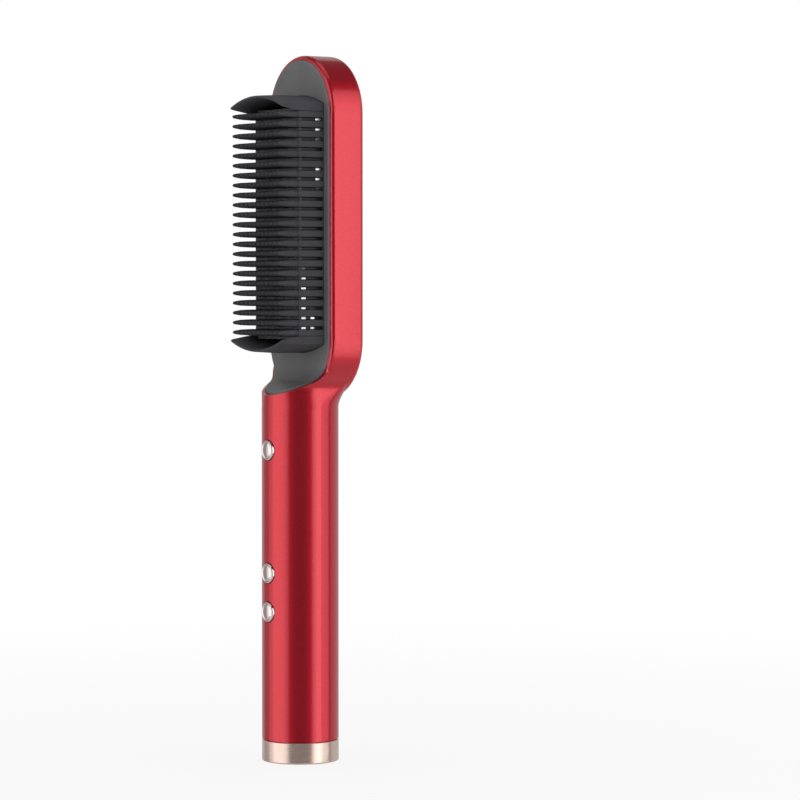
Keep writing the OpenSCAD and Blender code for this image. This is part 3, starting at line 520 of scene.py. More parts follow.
FINISHES = {
    "red_lacquer": Lacquer("red_lacquer", (0.74, 0.009, 0.03), roughness=0.43, metallic=0.9, coat=0.9),
    "red_panel": Lacquer("red_panel", (0.5, 0.045, 0.055), roughness=0.5, metallic=0.3, coat=0.1),
    "grey_plastic": Moulded("grey_plastic", (0.15, 0.15, 0.155), roughness=0.42),
    "comb_plastic": Moulded("comb_plastic", (0.074, 0.072, 0.081), roughness=0.6, specular=0.03),
    "rose_gold": Metal("rose_gold", (0.88, 0.68, 0.59), 0.24, Grain.ROUND, depth=0.0000002, metallic=0.8),
    "button_chrome": Metal("button_chrome", (0.93, 0.8, 0.78), roughness=0.1),
    # Fin coating: the bright metal colour and the boxes below are painted glints
    "fin_coat": FinCoat("fin_coat", (0.03, 0.03, 0.034), (0.9, 0.89, 0.92), (
        GlintSpot((-0.0094, -0.0082), (0.166, 0.188)), GlintSpot((-0.0052, -0.0042), (0.16, 0.172)),
        GlintSpot((-0.0029, -0.0009), (0.246, 0.257)), GlintSpot((-0.0029, -0.0009), (0.227, 0.229)),
    )),
    "heater_ceramic": Coated("heater_ceramic", (0.85, 0.82, 0.76), roughness=0.6, coat=0.0),
    "mica": Coated("mica", (0.62, 0.52, 0.33), roughness=0.3, blotch=0.006),
    "zinc_steel": Metal("zinc_steel", (0.72, 0.73, 0.74), roughness=0.28),
    "sensor_glass": Coated("sensor_glass", (0.05, 0.05, 0.05), roughness=0.25),
    "fuse_metal": Metal("fuse_metal", (0.8, 0.8, 0.8), roughness=0.22, grain=Grain.ALONG),
    "silicone_wire": Coated("silicone_wire", (0.86, 0.86, 0.84), roughness=0.5, coat=0.0),
    "circuit_green": Coated("circuit_green", (0.04, 0.24, 0.12), roughness=0.35, blotch=0.005),
    "black_nylon": Moulded("black_nylon", (0.05, 0.05, 0.055), roughness=0.5),
    "clear_plastic": Clear("clear_plastic", (0.9, 0.9, 0.88)),
    "led_amber": Lamp("led_amber", (0.95, 0.55, 0.2)),
    "capacitor_yellow": Coated("capacitor_yellow", (0.8, 0.62, 0.1)),
    "capacitor_blue": Coated("capacitor_blue", (0.05, 0.1, 0.35)),
    "absorber_blue": Coated("absorber_blue", (0.08, 0.25, 0.62)),
    "fuse_brown": Coated("fuse_brown", (0.25, 0.12, 0.06)),
    "copper_alloy": Metal("copper_alloy", (0.8, 0.5, 0.28), roughness=0.25, grain=Grain.ROUND),
}
SLOTS = {"fin_coat": "bare_aluminium"}
SLOT_FINISHES = {slot: finish for finish, slot in SLOTS.items()}


class PaintShop:
    """Makes each material once and puts it on pieces and nodes."""

    def __init__(self) -> None:
        """Starts with no material made."""
        self.made: dict[str, bpy.types.Material] = {}

    def get(self, finish: str) -> bpy.types.Material:
        """Returns the material of a finish."""
        if finish not in self.made:
            self.made[finish] = FINISHES[finish].material()
        return self.made[finish]

    def coat(self, thing: bpy.types.Object, finish: str) -> None:
        """Gives an object one finish.

        Args:
            thing: Piece or CAD node.
            finish: Name of the finish.
        """
        thing.data.materials.clear()
        thing.data.materials.append(self.get(finish))


@dataclass
class Nodes:
    """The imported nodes, dressed where they stay in view."""

    frame: dict
    paint: PaintShop

    def dress(self) -> None:
        """Gives every node the finish of its slot."""
        for part in self.frame["record"]["subparts"]:
            name = part["node"]
            slot = part["material_slot"]
            finish = SLOT_FINISHES.get(slot, slot)
            self.paint.coat(self.frame["nodes"][name], finish)
            LOG.info("node %s takes %s", name, finish)


class Shaper:
    """Shapes one piece in millimetres with mesh operators."""

    def __init__(self) -> None:
        """Starts with an empty mesh."""
        self.bm = bmesh.new()

    def box(self, low: Point, high: Point, soft: float = 0.0, segments: int = 2) -> None:
        """Adds a block.

        Args:
            low: Its lowest corner.
            high: Its highest corner.
            soft: Width of its rounded edges.
            segments: Faces across each rounded edge.
        """
        verts = bmesh.ops.create_cube(self.bm, size=1.0)["verts"]
        bmesh.ops.scale(self.bm, vec=Vector(high) - Vector(low), verts=verts)
        bmesh.ops.translate(self.bm, vec=(Vector(low) + Vector(high)) / 2, verts=verts)
        if soft:
            self.soften({edge for vert in verts for edge in vert.link_edges}, soft, segments)

    def soften(self, edges: set[bmesh.types.BMEdge], width: float, segments: int) -> None:
        """Rounds edges off.

        Args:
            edges: Edges to round.
            width: Width of the rounding.
            segments: Faces across it.
        """
        bmesh.ops.bevel(
            self.bm, geom=list(edges), offset=width, offset_type="OFFSET", segments=segments,
            profile=0.5, affect="EDGES", material=-1, clamp_overlap=True,
        )

    def line(self, points: list[Vector], closed: bool) -> list[bmesh.types.BMVert | bmesh.types.BMEdge]:
        """Draws a line that an operator then sweeps.

        Args:
            points: Its corners in order.
            closed: True if it runs back to its start.

        Returns:
            Its vertices and edges.
        """
        verts = [self.bm.verts.new(point) for point in points]
        ends = verts[1:] + verts[:1] if closed else verts[1:]
        return verts + [self.bm.edges.new(pair) for pair in zip(verts, ends)]

    def turn(self, profile: Profile, centre: Point, axis: Axis, steps: int, closed: bool = False) -> None:
        """Turns a profile a full round.

        Args:
            profile: Pairs of radius and height along the axis, from centre.
            centre: Point on the axis.
            axis: Direction of the axis.
            steps: Faces round it.
            closed: True if the profile runs back to its start.
        """
        side = Axis.DEPTH.value if axis is Axis.SIDE else Axis.SIDE.value
        points = [Vector(centre) + side * r + axis.value * h for r, h in profile]
        bmesh.ops.spin(
            self.bm, geom=self.line(points, closed), cent=centre, axis=axis.value,
            angle=math.tau, steps=steps, use_merge=True,
        )

    def arch(
        self, profile: Profile, centre: Point, half_turn: float, steps: int,
    ) -> list[bmesh.types.BMFace]:
        """Sweeps a closed profile over an arc in the plane of the head, about its highest point.

        Args:
            profile: Pairs of radius and depth.
            centre: Centre of the arc.
            half_turn: Angle to each side of the highest point, in radians.
            steps: Faces along the arc.

        Returns:
            The faces of the swept bar.
        """
        old = set(self.bm.faces)
        lean = Matrix.Rotation(half_turn, 3, Axis.DEPTH.value)
        points = [Vector(centre) + lean @ Vector((0.0, y, r)) for r, y in profile]
        line = self.line(points, True)
        swept = bmesh.ops.spin(
            self.bm, geom=line, cent=centre, axis=Axis.DEPTH.value,
            angle=-2.0 * half_turn, steps=steps,
        )
        for end in (line, swept["geom_last"]):
            edges = [item for item in end if isinstance(item, bmesh.types.BMEdge)]
            bmesh.ops.contextual_create(self.bm, geom=edges)
        return [face for face in self.bm.faces if face not in old]

    def trim(self, faces: list[bmesh.types.BMFace], place: Point, normal: Point) -> list[bmesh.types.BMFace]:
        """Cuts off what stands beyond a plane and closes the cut.

        Args:
            faces: Faces of the solid.
            place: Point on the plane.
            normal: Direction of the part that is cut off.

        Returns:
            The faces of what is left.
        """
        edges = {edge for face in faces for edge in face.edges}
        verts = {vert for face in faces for vert in face.verts}
        rest = set(self.bm.faces) - set(faces)
        cut = bmesh.ops.bisect_plane(
            self.bm, geom=[*faces, *edges, *verts], plane_co=place, plane_no=normal, clear_outer=True,
        )["geom_cut"]
        bmesh.ops.contextual_create(self.bm, geom=[e for e in cut if isinstance(e, bmesh.types.BMEdge)])
        return [face for face in self.bm.faces if face not in rest]

    def extend(
        self, edges: list[bmesh.types.BMEdge],
    ) -> tuple[list[bmesh.types.BMVert], list[bmesh.types.BMEdge]]:
        """Extrudes a line of edges on the spot.

        Args:
            edges: Edges of the line.

        Returns:
            The new line's vertices and edges, ready to be moved.
        """
        raised = bmesh.ops.extrude_edge_only(self.bm, edges=edges)["geom"]
        verts = [item for item in raised if isinstance(item, bmesh.types.BMVert)]
        fresh = set(verts)
        ends = [item for item in raised
                if isinstance(item, bmesh.types.BMEdge) and fresh.issuperset(item.verts)]
        return verts, ends

    def repeat(self, step: Point, count: int) -> None:
        """Repeats the whole shape in a straight line.

        Args:
            step: Way from one copy to the next.
            count: Number of copies, with the first.
        """
        source = [*self.bm.verts, *self.bm.edges, *self.bm.faces]
        for k in range(1, count):
            copy = bmesh.ops.duplicate(self.bm, geom=source)["geom"]
            verts = [item for item in copy if isinstance(item, bmesh.types.BMVert)]
            bmesh.ops.translate(self.bm, vec=Vector(step) * k, verts=verts)

    def oval(self, profile: Profile, closed: bool, steps: int = 64) -> None:
        """Sweeps a profile round the oval of the head.

        Args:
            profile: Pairs of distance from the oval's middle line and depth.
            closed: True if the profile runs back to its start.
            steps: Faces round each half circle.
        """
        points = [Vector((r, y, ARC_LOW)) for r, y in profile]
        geom = self.line(points, closed)
        for centre, way in ((ARC_HIGH, HEAD_STRAIGHT), (ARC_LOW, -HEAD_STRAIGHT)):
            verts, ends = self.extend([item for item in geom if isinstance(item, bmesh.types.BMEdge)])
            bmesh.ops.translate(self.bm, vec=(0.0, 0.0, way), verts=verts)
            geom = bmesh.ops.spin(
                self.bm, geom=verts + ends, cent=(0.0, 0.0, centre), axis=Axis.DEPTH.value,
                angle=-math.pi, steps=steps,
            )["geom_last"]

    def mesh(self, name: str, sharp: float) -> bpy.types.Mesh:
        """Cleans the shape up and turns it into a smooth mesh in metres.

        Args:
            name: Name of the mesh.
            sharp: Angle in degrees above which an edge stays sharp.

        Returns:
            The mesh.
        """
        bmesh.ops.remove_doubles(self.bm, verts=self.bm.verts, dist=MERGE_DISTANCE)
        loose = [vert for vert in self.bm.verts if not vert.link_faces]
        bmesh.ops.delete(self.bm, geom=loose, context="VERTS")
        bmesh.ops.recalc_face_normals(self.bm, faces=self.bm.faces)
        bmesh.ops.scale(self.bm, vec=(MM, MM, MM), verts=self.bm.verts)
        for face in self.bm.faces:
            face.smooth = True
        mesh = bpy.data.meshes.new(name)
        self.bm.to_mesh(mesh)
        self.bm.free()
        mesh.set_sharp_from_angle(angle=math.radians(sharp))
        return mesh


@dataclass
class Workshop:
    """Turns finished shapes into pieces of the object."""

    paint: PaintShop

    def piece(self, shaper: Shaper, name: str, finish: str, body: str, nodes: tuple[str, ...]) -> None:
        """Makes a piece from a shape.

        Args:
            shaper: Its shape.
            name: Its name.
            finish: Name of its finish.
            body: Body that it moves with.
            nodes: CAD nodes that it stands for.
        """
        self.finish_piece(shaper.mesh(name, SHARP_ANGLE), finish, body, nodes)

    def finish_piece(self, mesh: bpy.types.Mesh, finish: str, body: str, nodes: tuple[str, ...]) -> None:
        """Paints a finished mesh and lets it ride its body.

        Args:
            mesh: The mesh, which gives the piece its name.
            finish: Name of its finish.
            body: Body that it moves with.
            nodes: CAD nodes that it stands for.
        """
        thing = add_object(mesh.name, mesh)
        self.paint.coat(thing, finish)
        SLOTS.get(finish, finish)
        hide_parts(*nodes)
        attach(thing, body)
        LOG.info("piece %s: %d faces, rides %s", thing.name, len(mesh.polygons), body)


def round_corner(at: Pair, first: Pair, second: Pair, steps: int = 4) -> Profile:
    """Rounds one corner of a profile with a quadratic curve.

    Args:
        at: The corner.
        first: Point on the line that comes in, where the curve starts.
        second: Point on the line that goes out, where it ends.
        steps: Parts of the curve.

    Returns:
        The curve's points.
    """
    points = []
    for k in range(steps + 1):
        t = k / steps
        a, b, c = (1 - t) * (1 - t), 2 * t * (1 - t), t * t
        points.append((a * first[0] + b * at[0] + c * second[0], a * first[1] + b * at[1] + c * second[1]))
    return points


@dataclass
class SmoothSkin:
    """Merged copy of a node whose flat facets are shaded as one curved surface."""

    shop: Workshop
    nodes: dict[str, bpy.types.Object]
    widest_turn: float = 27.0
    flat_limit: float = 0.2
    merge_distance: float = 0.000001

    def build(self, node: str, finish: str) -> None:
        """Builds the copy of one node.

        Args:
            node: Name of the node.
            finish: Name of its finish.
        """
        bm = bmesh.new()
        source = self.nodes[node].data
        bm.from_mesh(source)
        layer = bm.loops.layers.float_vector.new("shading")
        for face in bm.faces:
            face.smooth = True
            for loop, corner in zip(face.loops, source.polygons[face.index].loop_indices):
                loop[layer] = source.corner_normals[corner].vector
        bmesh.ops.remove_doubles(bm, verts=bm.verts, dist=self.merge_distance)
        self.smooth_facets(bm, layer)
        mesh = bpy.data.meshes.new(f"{node}_skin")
        bm.to_mesh(mesh)
        bm.free()
        mesh.normals_split_custom_set([item.vector for item in mesh.attributes["shading"].data])
        mesh.attributes.remove(mesh.attributes["shading"])
        self.shop.finish_piece(mesh, finish, HOUSING, (node,))

    def smooth_facets(self, bm: bmesh.types.BMesh, layer: bmesh.types.BMLayerItem) -> None:
        """Averages the shading of flat facets that meet at a small angle.

        Args:
            bm: The merged mesh.
            layer: Shading direction of each corner.
        """
        limit = math.cos(math.radians(self.flat_limit))
        bm.faces.index_update()
        flat = [all(loop[layer].dot(face.normal) > limit for loop in face.loops) for face in bm.faces]
        areas = [face.calc_area() for face in bm.faces]
        near = math.cos(math.radians(self.widest_turn))
        fresh = []
        for vert in bm.verts:
            loops = [(loop, loop[layer].copy(), areas[loop.face.index]) for loop in vert.link_loops]
            for loop, own, _ in loops:
                if flat[loop.face.index]:
                    total = Vector((0.0, 0.0, 0.0))
                    for _, other, area in loops:
                        if other.dot(own) > near:
                            total += other * area
                    fresh.append((loop, total.normalized()))
        for loop, direction in fresh:
            loop[layer] = direction


@dataclass(frozen=True)
class Station:
    """Cross-section of a tooth at one depth."""

    depth: float
    width: float
    thick: float


# Radius of the eight-sided ring that the stations of a tooth scale
TOOTH_RING = 0.54
TOOTH = (
    Station(-11.4, 2.0, 2.5), Station(-13.2, 1.9, 2.45), Station(-16.9, 1.6, 2.15),
    Station(-19.5, 1.15, 1.4), Station(-20.3, 0.85, 0.9), Station(-20.5, 0.4, 0.4),
)


@dataclass
class CombGuard:
    """Comb block: rows of slender teeth between two curved end guards, on a slotted base."""

    shop: Workshop
    width: float = 36.0
    low: float = 159.4
    high: float = 259.3
    face: float = -0.6
    row_front: float = -12.0
    tip: float = -20.5
    flange_front: float = 1.55
    flange_back: float = 3.35
    flange: float = 2.2
    end_radius: float = 46.8
    guard: float = 2.8
    rows: int = 23
    pitch: float = 3.82
    row_thick: float = 2.5
    row_soft: float = 0.4
    columns: int = 12
    column_pitch: float = 3.0
    fin_room: float = 16.5
    tip_setback: float = 0.5
    tip_thick: float = 0.9
    tip_round: float = 0.6
    tip_edge: float = 0.35
    tip_lean: Pair = (0.03, 0.1)
    end_depth: float = 8.0
    end_gap: float = 0.76
    end_spare: float = 0.02
    overlap: float = 1.0
    wing_overlap: float = 0.5
    corner: float = 4.4
    boss_at: Pair = (18.4, 34.9)
    boss_radius: float = 1.7
    boss_back: float = 8.65

    def build(self) -> None:
        """Builds the block as one piece."""
        shaper = Shaper()
        self.add_rows(shaper)
        for side in (1, -1):
            self.add_end(shaper, side)
        self.add_base(shaper)
        self.shop.piece(shaper, "comb_block", "comb_plastic", HOUSING, ("comb_guard",))

    @property
    def middle(self) -> float:
        """Height of the comb's middle."""
        return (self.low + self.high) / 2

    def add_rows(self, shaper: Shaper) -> None:
        """Adds the rows: a straight rib with its line of teeth, repeated up the comb."""
        first = self.middle - (self.rows - 1) / 2 * self.pitch
        self.add_tooth(shaper, -(self.columns - 1) / 2 * self.column_pitch, first)
        shaper.repeat((self.column_pitch, 0.0, 0.0), self.columns)
        half, rise = self.width / 2, self.row_thick / 2
        low = (-half, self.row_front, first - rise)
        shaper.box(low, (half, self.flange_back, first + rise), self.row_soft, 3)
        shaper.repeat((0.0, 0.0, self.pitch), self.rows)

    @staticmethod
    def add_tooth(shaper: Shaper, x: float, z: float) -> None:
        """Adds one tooth, which tapers in both directions to a rounded tip.

        Args:
            shaper: Shape that gets it.
            x: Its place across the comb.
            z: Its height.
        """
        turned = Matrix.Rotation(math.pi / 2, 4, "X") @ Matrix.Rotation(math.pi / 8, 4, "Z")
        verts = bmesh.ops.create_circle(
            shaper.bm, segments=8, radius=TOOTH_RING, cap_ends=True, matrix=turned)["verts"]
        edges = list({edge for vert in verts for edge in vert.link_edges})
        last = Station(0.0, 1.0, 1.0)
        for station in TOOTH:
            if station is not TOOTH[0]:
                verts, edges = shaper.extend(edges)
            ratio = (station.width / last.width, 1.0, station.thick / last.thick)
            bmesh.ops.scale(shaper.bm, vec=ratio, verts=verts)
            bmesh.ops.translate(shaper.bm, vec=(0.0, station.depth - last.depth, 0.0), verts=verts)
            last = station
        bmesh.ops.contextual_create(shaper.bm, geom=edges)
        bmesh.ops.translate(shaper.bm, vec=(x, 0.0, z), verts=shaper.bm.verts)

    def guard_front(self) -> Profile:
        """Returns the guard's section from its root to its rounded tip and back."""
        outer = self.end_radius - self.tip_setback
        inner = outer - self.tip_thick
        behind = self.tip + self.tip_round
        return [
            (self.end_radius, self.row_front),
            *round_corner((outer, self.tip), (outer + self.tip_lean[0], behind),
                          (outer - self.tip_edge, self.tip), 3),
            *round_corner((inner, self.tip), (inner + self.tip_edge, self.tip),
                          (inner - self.tip_lean[1], behind), 3),
            (self.end_radius - self.guard, self.row_front),
        ]

    def add_end(self, shaper: Shaper, side: int) -> None:
        """Adds the curved guard, the solid end and the flange at one end.

        Args:
            shaper: Shape that gets them.
            side: 1 for the upper end, -1 for the lower.
        """
        reach, half = self.end_radius, self.width / 2
        length = (self.high - self.low) / 2
        centre = (0.0, 0.0, self.middle + length - reach)
        spread = math.asin((half + self.flange) / reach) + self.end_spare
        root = reach - self.end_depth
        wall = [(reach - self.guard, 0.0), (reach, 0.0), *self.guard_front()]
        end = [(root, self.face), (reach, self.face), (reach, self.flange_back), (root, self.flange_back)]
        rim = [
            (reach - self.overlap, self.flange_front), (reach + self.flange, self.flange_front),
            (reach + self.flange, self.flange_back), (reach - self.overlap, self.flange_back),
        ]
        inner = self.middle + (self.rows * self.pitch) / 2 + self.end_gap
        made = []
        for profile, wide in ((wall, half), (end, half), (rim, half + self.flange)):
            faces = shaper.arch(profile, centre, spread, steps=48)
            faces = shaper.trim(faces, (wide, 0.0, 0.0), (1.0, 0.0, 0.0))
            faces = shaper.trim(faces, (-wide, 0.0, 0.0), (-1.0, 0.0, 0.0))
            if profile is end:
                faces = shaper.trim(faces, (0.0, 0.0, inner), (0.0, 0.0, -1.0))
            made += faces
        if side < 0:
            verts = list({vert for face in made for vert in face.verts})
            bmesh.ops.rotate(
                shaper.bm, cent=(0.0, 0.0, self.middle), verts=verts,
                matrix=Matrix.Rotation(math.pi, 3, Axis.DEPTH.value))

    def add_base(self, shaper: Shaper) -> None:
        """Adds the side rims, the side flanges and the bosses for the clamp's screws."""
        half = self.width / 2
        for side in (-1, 1):
            rim = sorted((side * self.fin_room, side * half))
            wing = sorted((side * (half - self.wing_overlap), side * (half + self.flange)))
            low, high = self.low + self.corner, self.high - self.corner
            shaper.box((rim[0], self.face, low), (rim[1], self.flange_back, high))
            shaper.box((wing[0], self.flange_front, low), (wing[1], self.flange_back, high))
            for end in (-1, 1):
                place = (side * self.boss_at[0], 0.0, self.middle + end * self.boss_at[1])
                profile = [(0.0, self.flange_front), (self.boss_radius, self.flange_front),
                           (self.boss_radius, self.boss_back), (0.0, self.boss_back)]
                shaper.turn(profile, place, Axis.DEPTH, steps=24)


@dataclass
class HeatingFins:
    """Metal plate whose fins stand in the gaps between the comb's rows."""

    shop: Workshop
    plate: tuple[Point, Point] = ((-16.2, 3.45, 163.4), (16.2, 6.05, 255.3))
    count: int = 24
    pitch: float = 3.82
    middle: float = COMB_MIDDLE
    thick: float = 1.31
    front: float = -10.5
    end_half: float = 14.48
    nose: float = 0.6
    edge: float = 0.28
    plate_edge: float = 0.3
    root: float = 0.5
    same: float = 0.000001
    edge_angle: float = 1.2

    def build(self) -> None:
        """Builds plate and fins as one piece."""
        shaper = Shaper()
        reach = (self.count - 1) / 2 * self.pitch
        self.add_fin(shaper, self.plate[1][0], self.middle - reach + self.pitch)
        shaper.repeat((0.0, 0.0, self.pitch), self.count - 2)
        for side in (-1, 1):
            self.add_fin(shaper, self.end_half, self.middle + side * reach)
        shaper.box(*self.plate, self.plate_edge)
        self.shop.piece(shaper, "heating_fins", "fin_coat", HOUSING, ("heating_plate",))

    def add_fin(self, shaper: Shaper, half: float, z: float) -> None:
        """Adds one fin, its front corners rounded and its edges softened.

        Args:
            shaper: Shape that gets it.
            half: Half of its width.
            z: Its height.
        """
        old = set(shaper.bm.verts)
        low = Vector((-half, self.front, z - self.thick / 2))
        high = Vector((half, self.plate[0][1] + self.root, z + self.thick / 2))
        shaper.box(low, high)
        fresh = [vert for vert in shaper.bm.verts if vert not in old]
        corners = {
            edge for vert in fresh for edge in vert.link_edges
            if all(abs(end.co.y - self.front) < self.same for end in edge.verts)
            and abs(edge.verts[0].co.x - edge.verts[1].co.x) < self.same
        }
        shaper.soften(corners, self.nose, 6)
        fresh = [vert for vert in shaper.bm.verts if vert not in old]
        rims = {
            edge for vert in fresh for edge in vert.link_edges
            if len(edge.link_faces) == 2 and edge.calc_face_angle(0.0) > self.edge_angle
            and min(end.co.y for end in edge.verts) < self.plate[0][1]
        }
        shaper.soften(rims, self.edge, 3)


@dataclass
class BackTrim:
    """Bevelled ring in the back pocket and the flat panel inside it."""

    shop: Workshop
    outer: float = 21.05
    inner: float = 16.65
    base: float = 12.9
    back: float = 15.0
    slope_edge: float = 14.0
    step: float = 18.25
    step_depth: float = 13.8
    panel: float = 16.5
    panel_step: float = 18.1
    panel_step_depth: float = 13.7
    bevel_round: float = 0.45
    bevel_rise: float = 0.1
    bevel_side: Pair = (0.4, 0.5)
    panel_round: float = 0.5
    peg: float = 1.2
    peg_chamfer: float = 0.2
    peg_front: float = 11.4
    peg_root: float = 0.1
    peg_at: Pair = (19.2, 28.0)
    middle: float = COMB_MIDDLE

    def build(self) -> None:
        """Builds ring and panel."""
        self.build_ring()
        self.build_panel()

    def build_ring(self) -> None:
        """Builds the bevelled ring with its four pegs."""
        shaper = Shaper()
        profile = [
            (self.step, self.base), (self.outer, self.base),
            *round_corner((self.outer, self.slope_edge), (self.outer, self.slope_edge - self.bevel_side[0]),
                          (self.outer - self.bevel_round, self.slope_edge + self.bevel_rise)),
            *round_corner((self.inner, self.back),
                          (self.inner + self.bevel_round, self.back - self.bevel_rise),
                          (self.inner, self.back - self.bevel_side[1])),
            (self.inner, self.step_depth), (self.step, self.step_depth),
        ]
        shaper.oval(profile, True)
        for side in (-1, 1):
            for end in (-1, 1):
                place = (side * self.peg_at[0], 0.0, self.middle + end * self.peg_at[1])
                pin = [
                    (0.0, self.peg_front), (self.peg - self.peg_chamfer, self.peg_front),
                    (self.peg, self.peg_front + self.peg_chamfer),
                    (self.peg, self.base + self.peg_root), (0.0, self.base + self.peg_root),
                ]
                shaper.turn(pin, place, Axis.DEPTH, steps=20)
        self.shop.piece(shaper, "bezel_ring", "rose_gold", HOUSING, ("back_bezel",))

    def build_panel(self) -> None:
        """Builds the flat panel with its hidden step."""
        shaper = Shaper()
        profile = [
            (0.0, self.base), (self.panel_step, self.base), (self.panel_step, self.panel_step_depth),
            (self.panel, self.panel_step_depth),
            *round_corner((self.panel, self.back), (self.panel, self.back - self.panel_round),
                          (self.panel - self.panel_round, self.back)),
            (0.0, self.back),
        ]
        shaper.oval(profile, False)
        self.shop.piece(shaper, "panel_plate", "red_panel", HOUSING, ("back_panel",))


# Radius and height of the front of a cap, from its middle over the raised rim to its side
CAP_FRONT = (
    (0.0, 16.0), (0.9, 15.97), (1.7, 15.88), (2.3, 15.75), (2.7, 15.6), (2.88, 15.47),
    (3.0, 15.45), (3.1, 15.5), (3.25, 15.6), (3.45, 15.63), (3.65, 15.56), (3.82, 15.4),
    (3.91, 15.2), (3.95, 14.95),
)


@dataclass
class PressButtons:
    """Three chromed caps with a raised rim round a shallow dome."""

    shop: Workshop
    places: dict[str, float]
    flange: float = 5.0
    flange_front: float = 11.8
    flange_rear: float = 11.0
    foot: float = 1.75
    foot_rear: float = 10.5
    chamfer: float = 0.15

    def build(self) -> None:
        """Builds each cap on its own body."""
        for name, z in self.places.items():
            self.build_cap(name, z)

    def build_cap(self, name: str, z: float) -> None:
        """Builds one cap.

        Args:
            name: Its name in the record without the ending.
            z: Its height on the handle.
        """
        shaper = Shaper()
        radius = CAP_FRONT[-1][0]
        hidden = [
            (radius, self.flange_front), (self.flange - self.chamfer, self.flange_front),
            (self.flange, self.flange_front - self.chamfer), (self.flange, self.flange_rear),
            (self.foot, self.flange_rear), (self.foot, self.foot_rear), (0.0, self.foot_rear),
        ]
        profile = [(r, -h) for r, h in (*CAP_FRONT, *hidden)]
        shaper.turn(profile, (0.0, 0.0, z), Axis.DEPTH, steps=64)
        self.shop.piece(shaper, f"{name}_cap", "button_chrome", f"{name}_press", (f"{name}_button",))


@dataclass
class BaseRing:
    """Polished ring round the lower end, with a rolled lip."""

    shop: Workshop
    radius: float = 15.0
    height: float = 8.3
    wall: float = 0.95
    lip: float = 1.0
    lip_radius: float = 12.4
    lip_chamfer: float = 0.15
    foot_round: float = 0.7
    top_round: float = 0.45

    def build(self) -> None:
        """Builds the ring as one piece."""
        shaper = Shaper()
        inside = self.radius - self.wall
        profile = [
            (self.lip_radius, self.lip_chamfer), (self.lip_radius + self.lip_chamfer, 0.0),
            *round_corner((self.radius, 0.0), (self.radius - self.foot_round, 0.0),
                          (self.radius, self.foot_round), 6),
            *round_corner((self.radius, self.height), (self.radius, self.height - self.top_round),
                          (self.radius - self.top_round, self.height), 5),
            (inside, self.height), (inside, self.lip), (self.lip_radius, self.lip),
        ]
        shaper.turn(profile, (0.0, 0.0, 0.0), Axis.UP, steps=128, closed=True)
        self.shop.piece(shaper, "ring_band", "rose_gold", HOUSING, ("base_ring",))


@dataclass
class SwivelGland:
    """Swivel sleeve that the cord would leave through."""

    shop: Workshop
    radius: float = 6.42
    low: float = 0.5
    flange: float = 8.9
    flange_low: float = 14.1
    flange_high: float = 15.5
    neck: float = 4.6
    top: float = 19.6
    bore: float = 3.1
    mouth_round: float = 1.0
    edge_round: float = 0.6

    def build(self) -> None:
        """Builds the sleeve as one piece."""
        shaper = Shaper()
        profile = [
            *round_corner((self.bore, self.low), (self.bore, self.low + self.mouth_round),
                          (self.bore + self.mouth_round, self.low), 6),
            *round_corner((self.radius, self.low), (self.radius - self.edge_round, self.low),
                          (self.radius, self.low + self.edge_round), 4),
            (self.radius, self.flange_low), (self.flange, self.flange_low), (self.flange, self.flange_high),
            (self.neck, self.flange_high), (self.neck, self.top), (self.bore, self.top),
        ]
        shaper.turn(profile, (0.0, 0.0, 0.0), Axis.UP, steps=72, closed=True)
        self.shop.piece(shaper, "gland_sleeve", "black_nylon", "cord_swivel", ("swivel_gland",))


def toward(azimuth: float) -> Vector:
    """Returns the level direction from the object at an azimuth in degrees."""
    a = math.radians(azimuth)
    return Vector((math.sin(a), -math.cos(a), 0.0))


@dataclass(frozen=True)
class Screen:
    """Curved screen of the light tent, which only reflections show."""

    start: float
    end: float
    level: float
    low: float = TENT_LOW
    high: float = TENT_HIGH


# Screens round the object, by their angle in degrees from the camera towards its right
TENT = (
    Screen(-36.0, 10.0, 0.12),
    Screen(10.0, 36.0, 0.12),
    Screen(36.0, 46.0, 1.2),
    Screen(46.0, 68.0, 1.82),
    Screen(68.0, 94.0, 0.95),
    Screen(94.0, 104.0, 0.08),
    Screen(104.0, 142.0, 0.5),
    Screen(142.0, 222.0, 0.5),
    Screen(222.0, 252.0, 0.28),
    Screen(252.0, 270.0, 0.72, high=TENT_SIDE_HIGH),
    Screen(270.0, 314.0, 1.28, high=TENT_SIDE_HIGH),
    Screen(314.0, 324.0, 0.95, high=TENT_SIDE_HIGH),
)


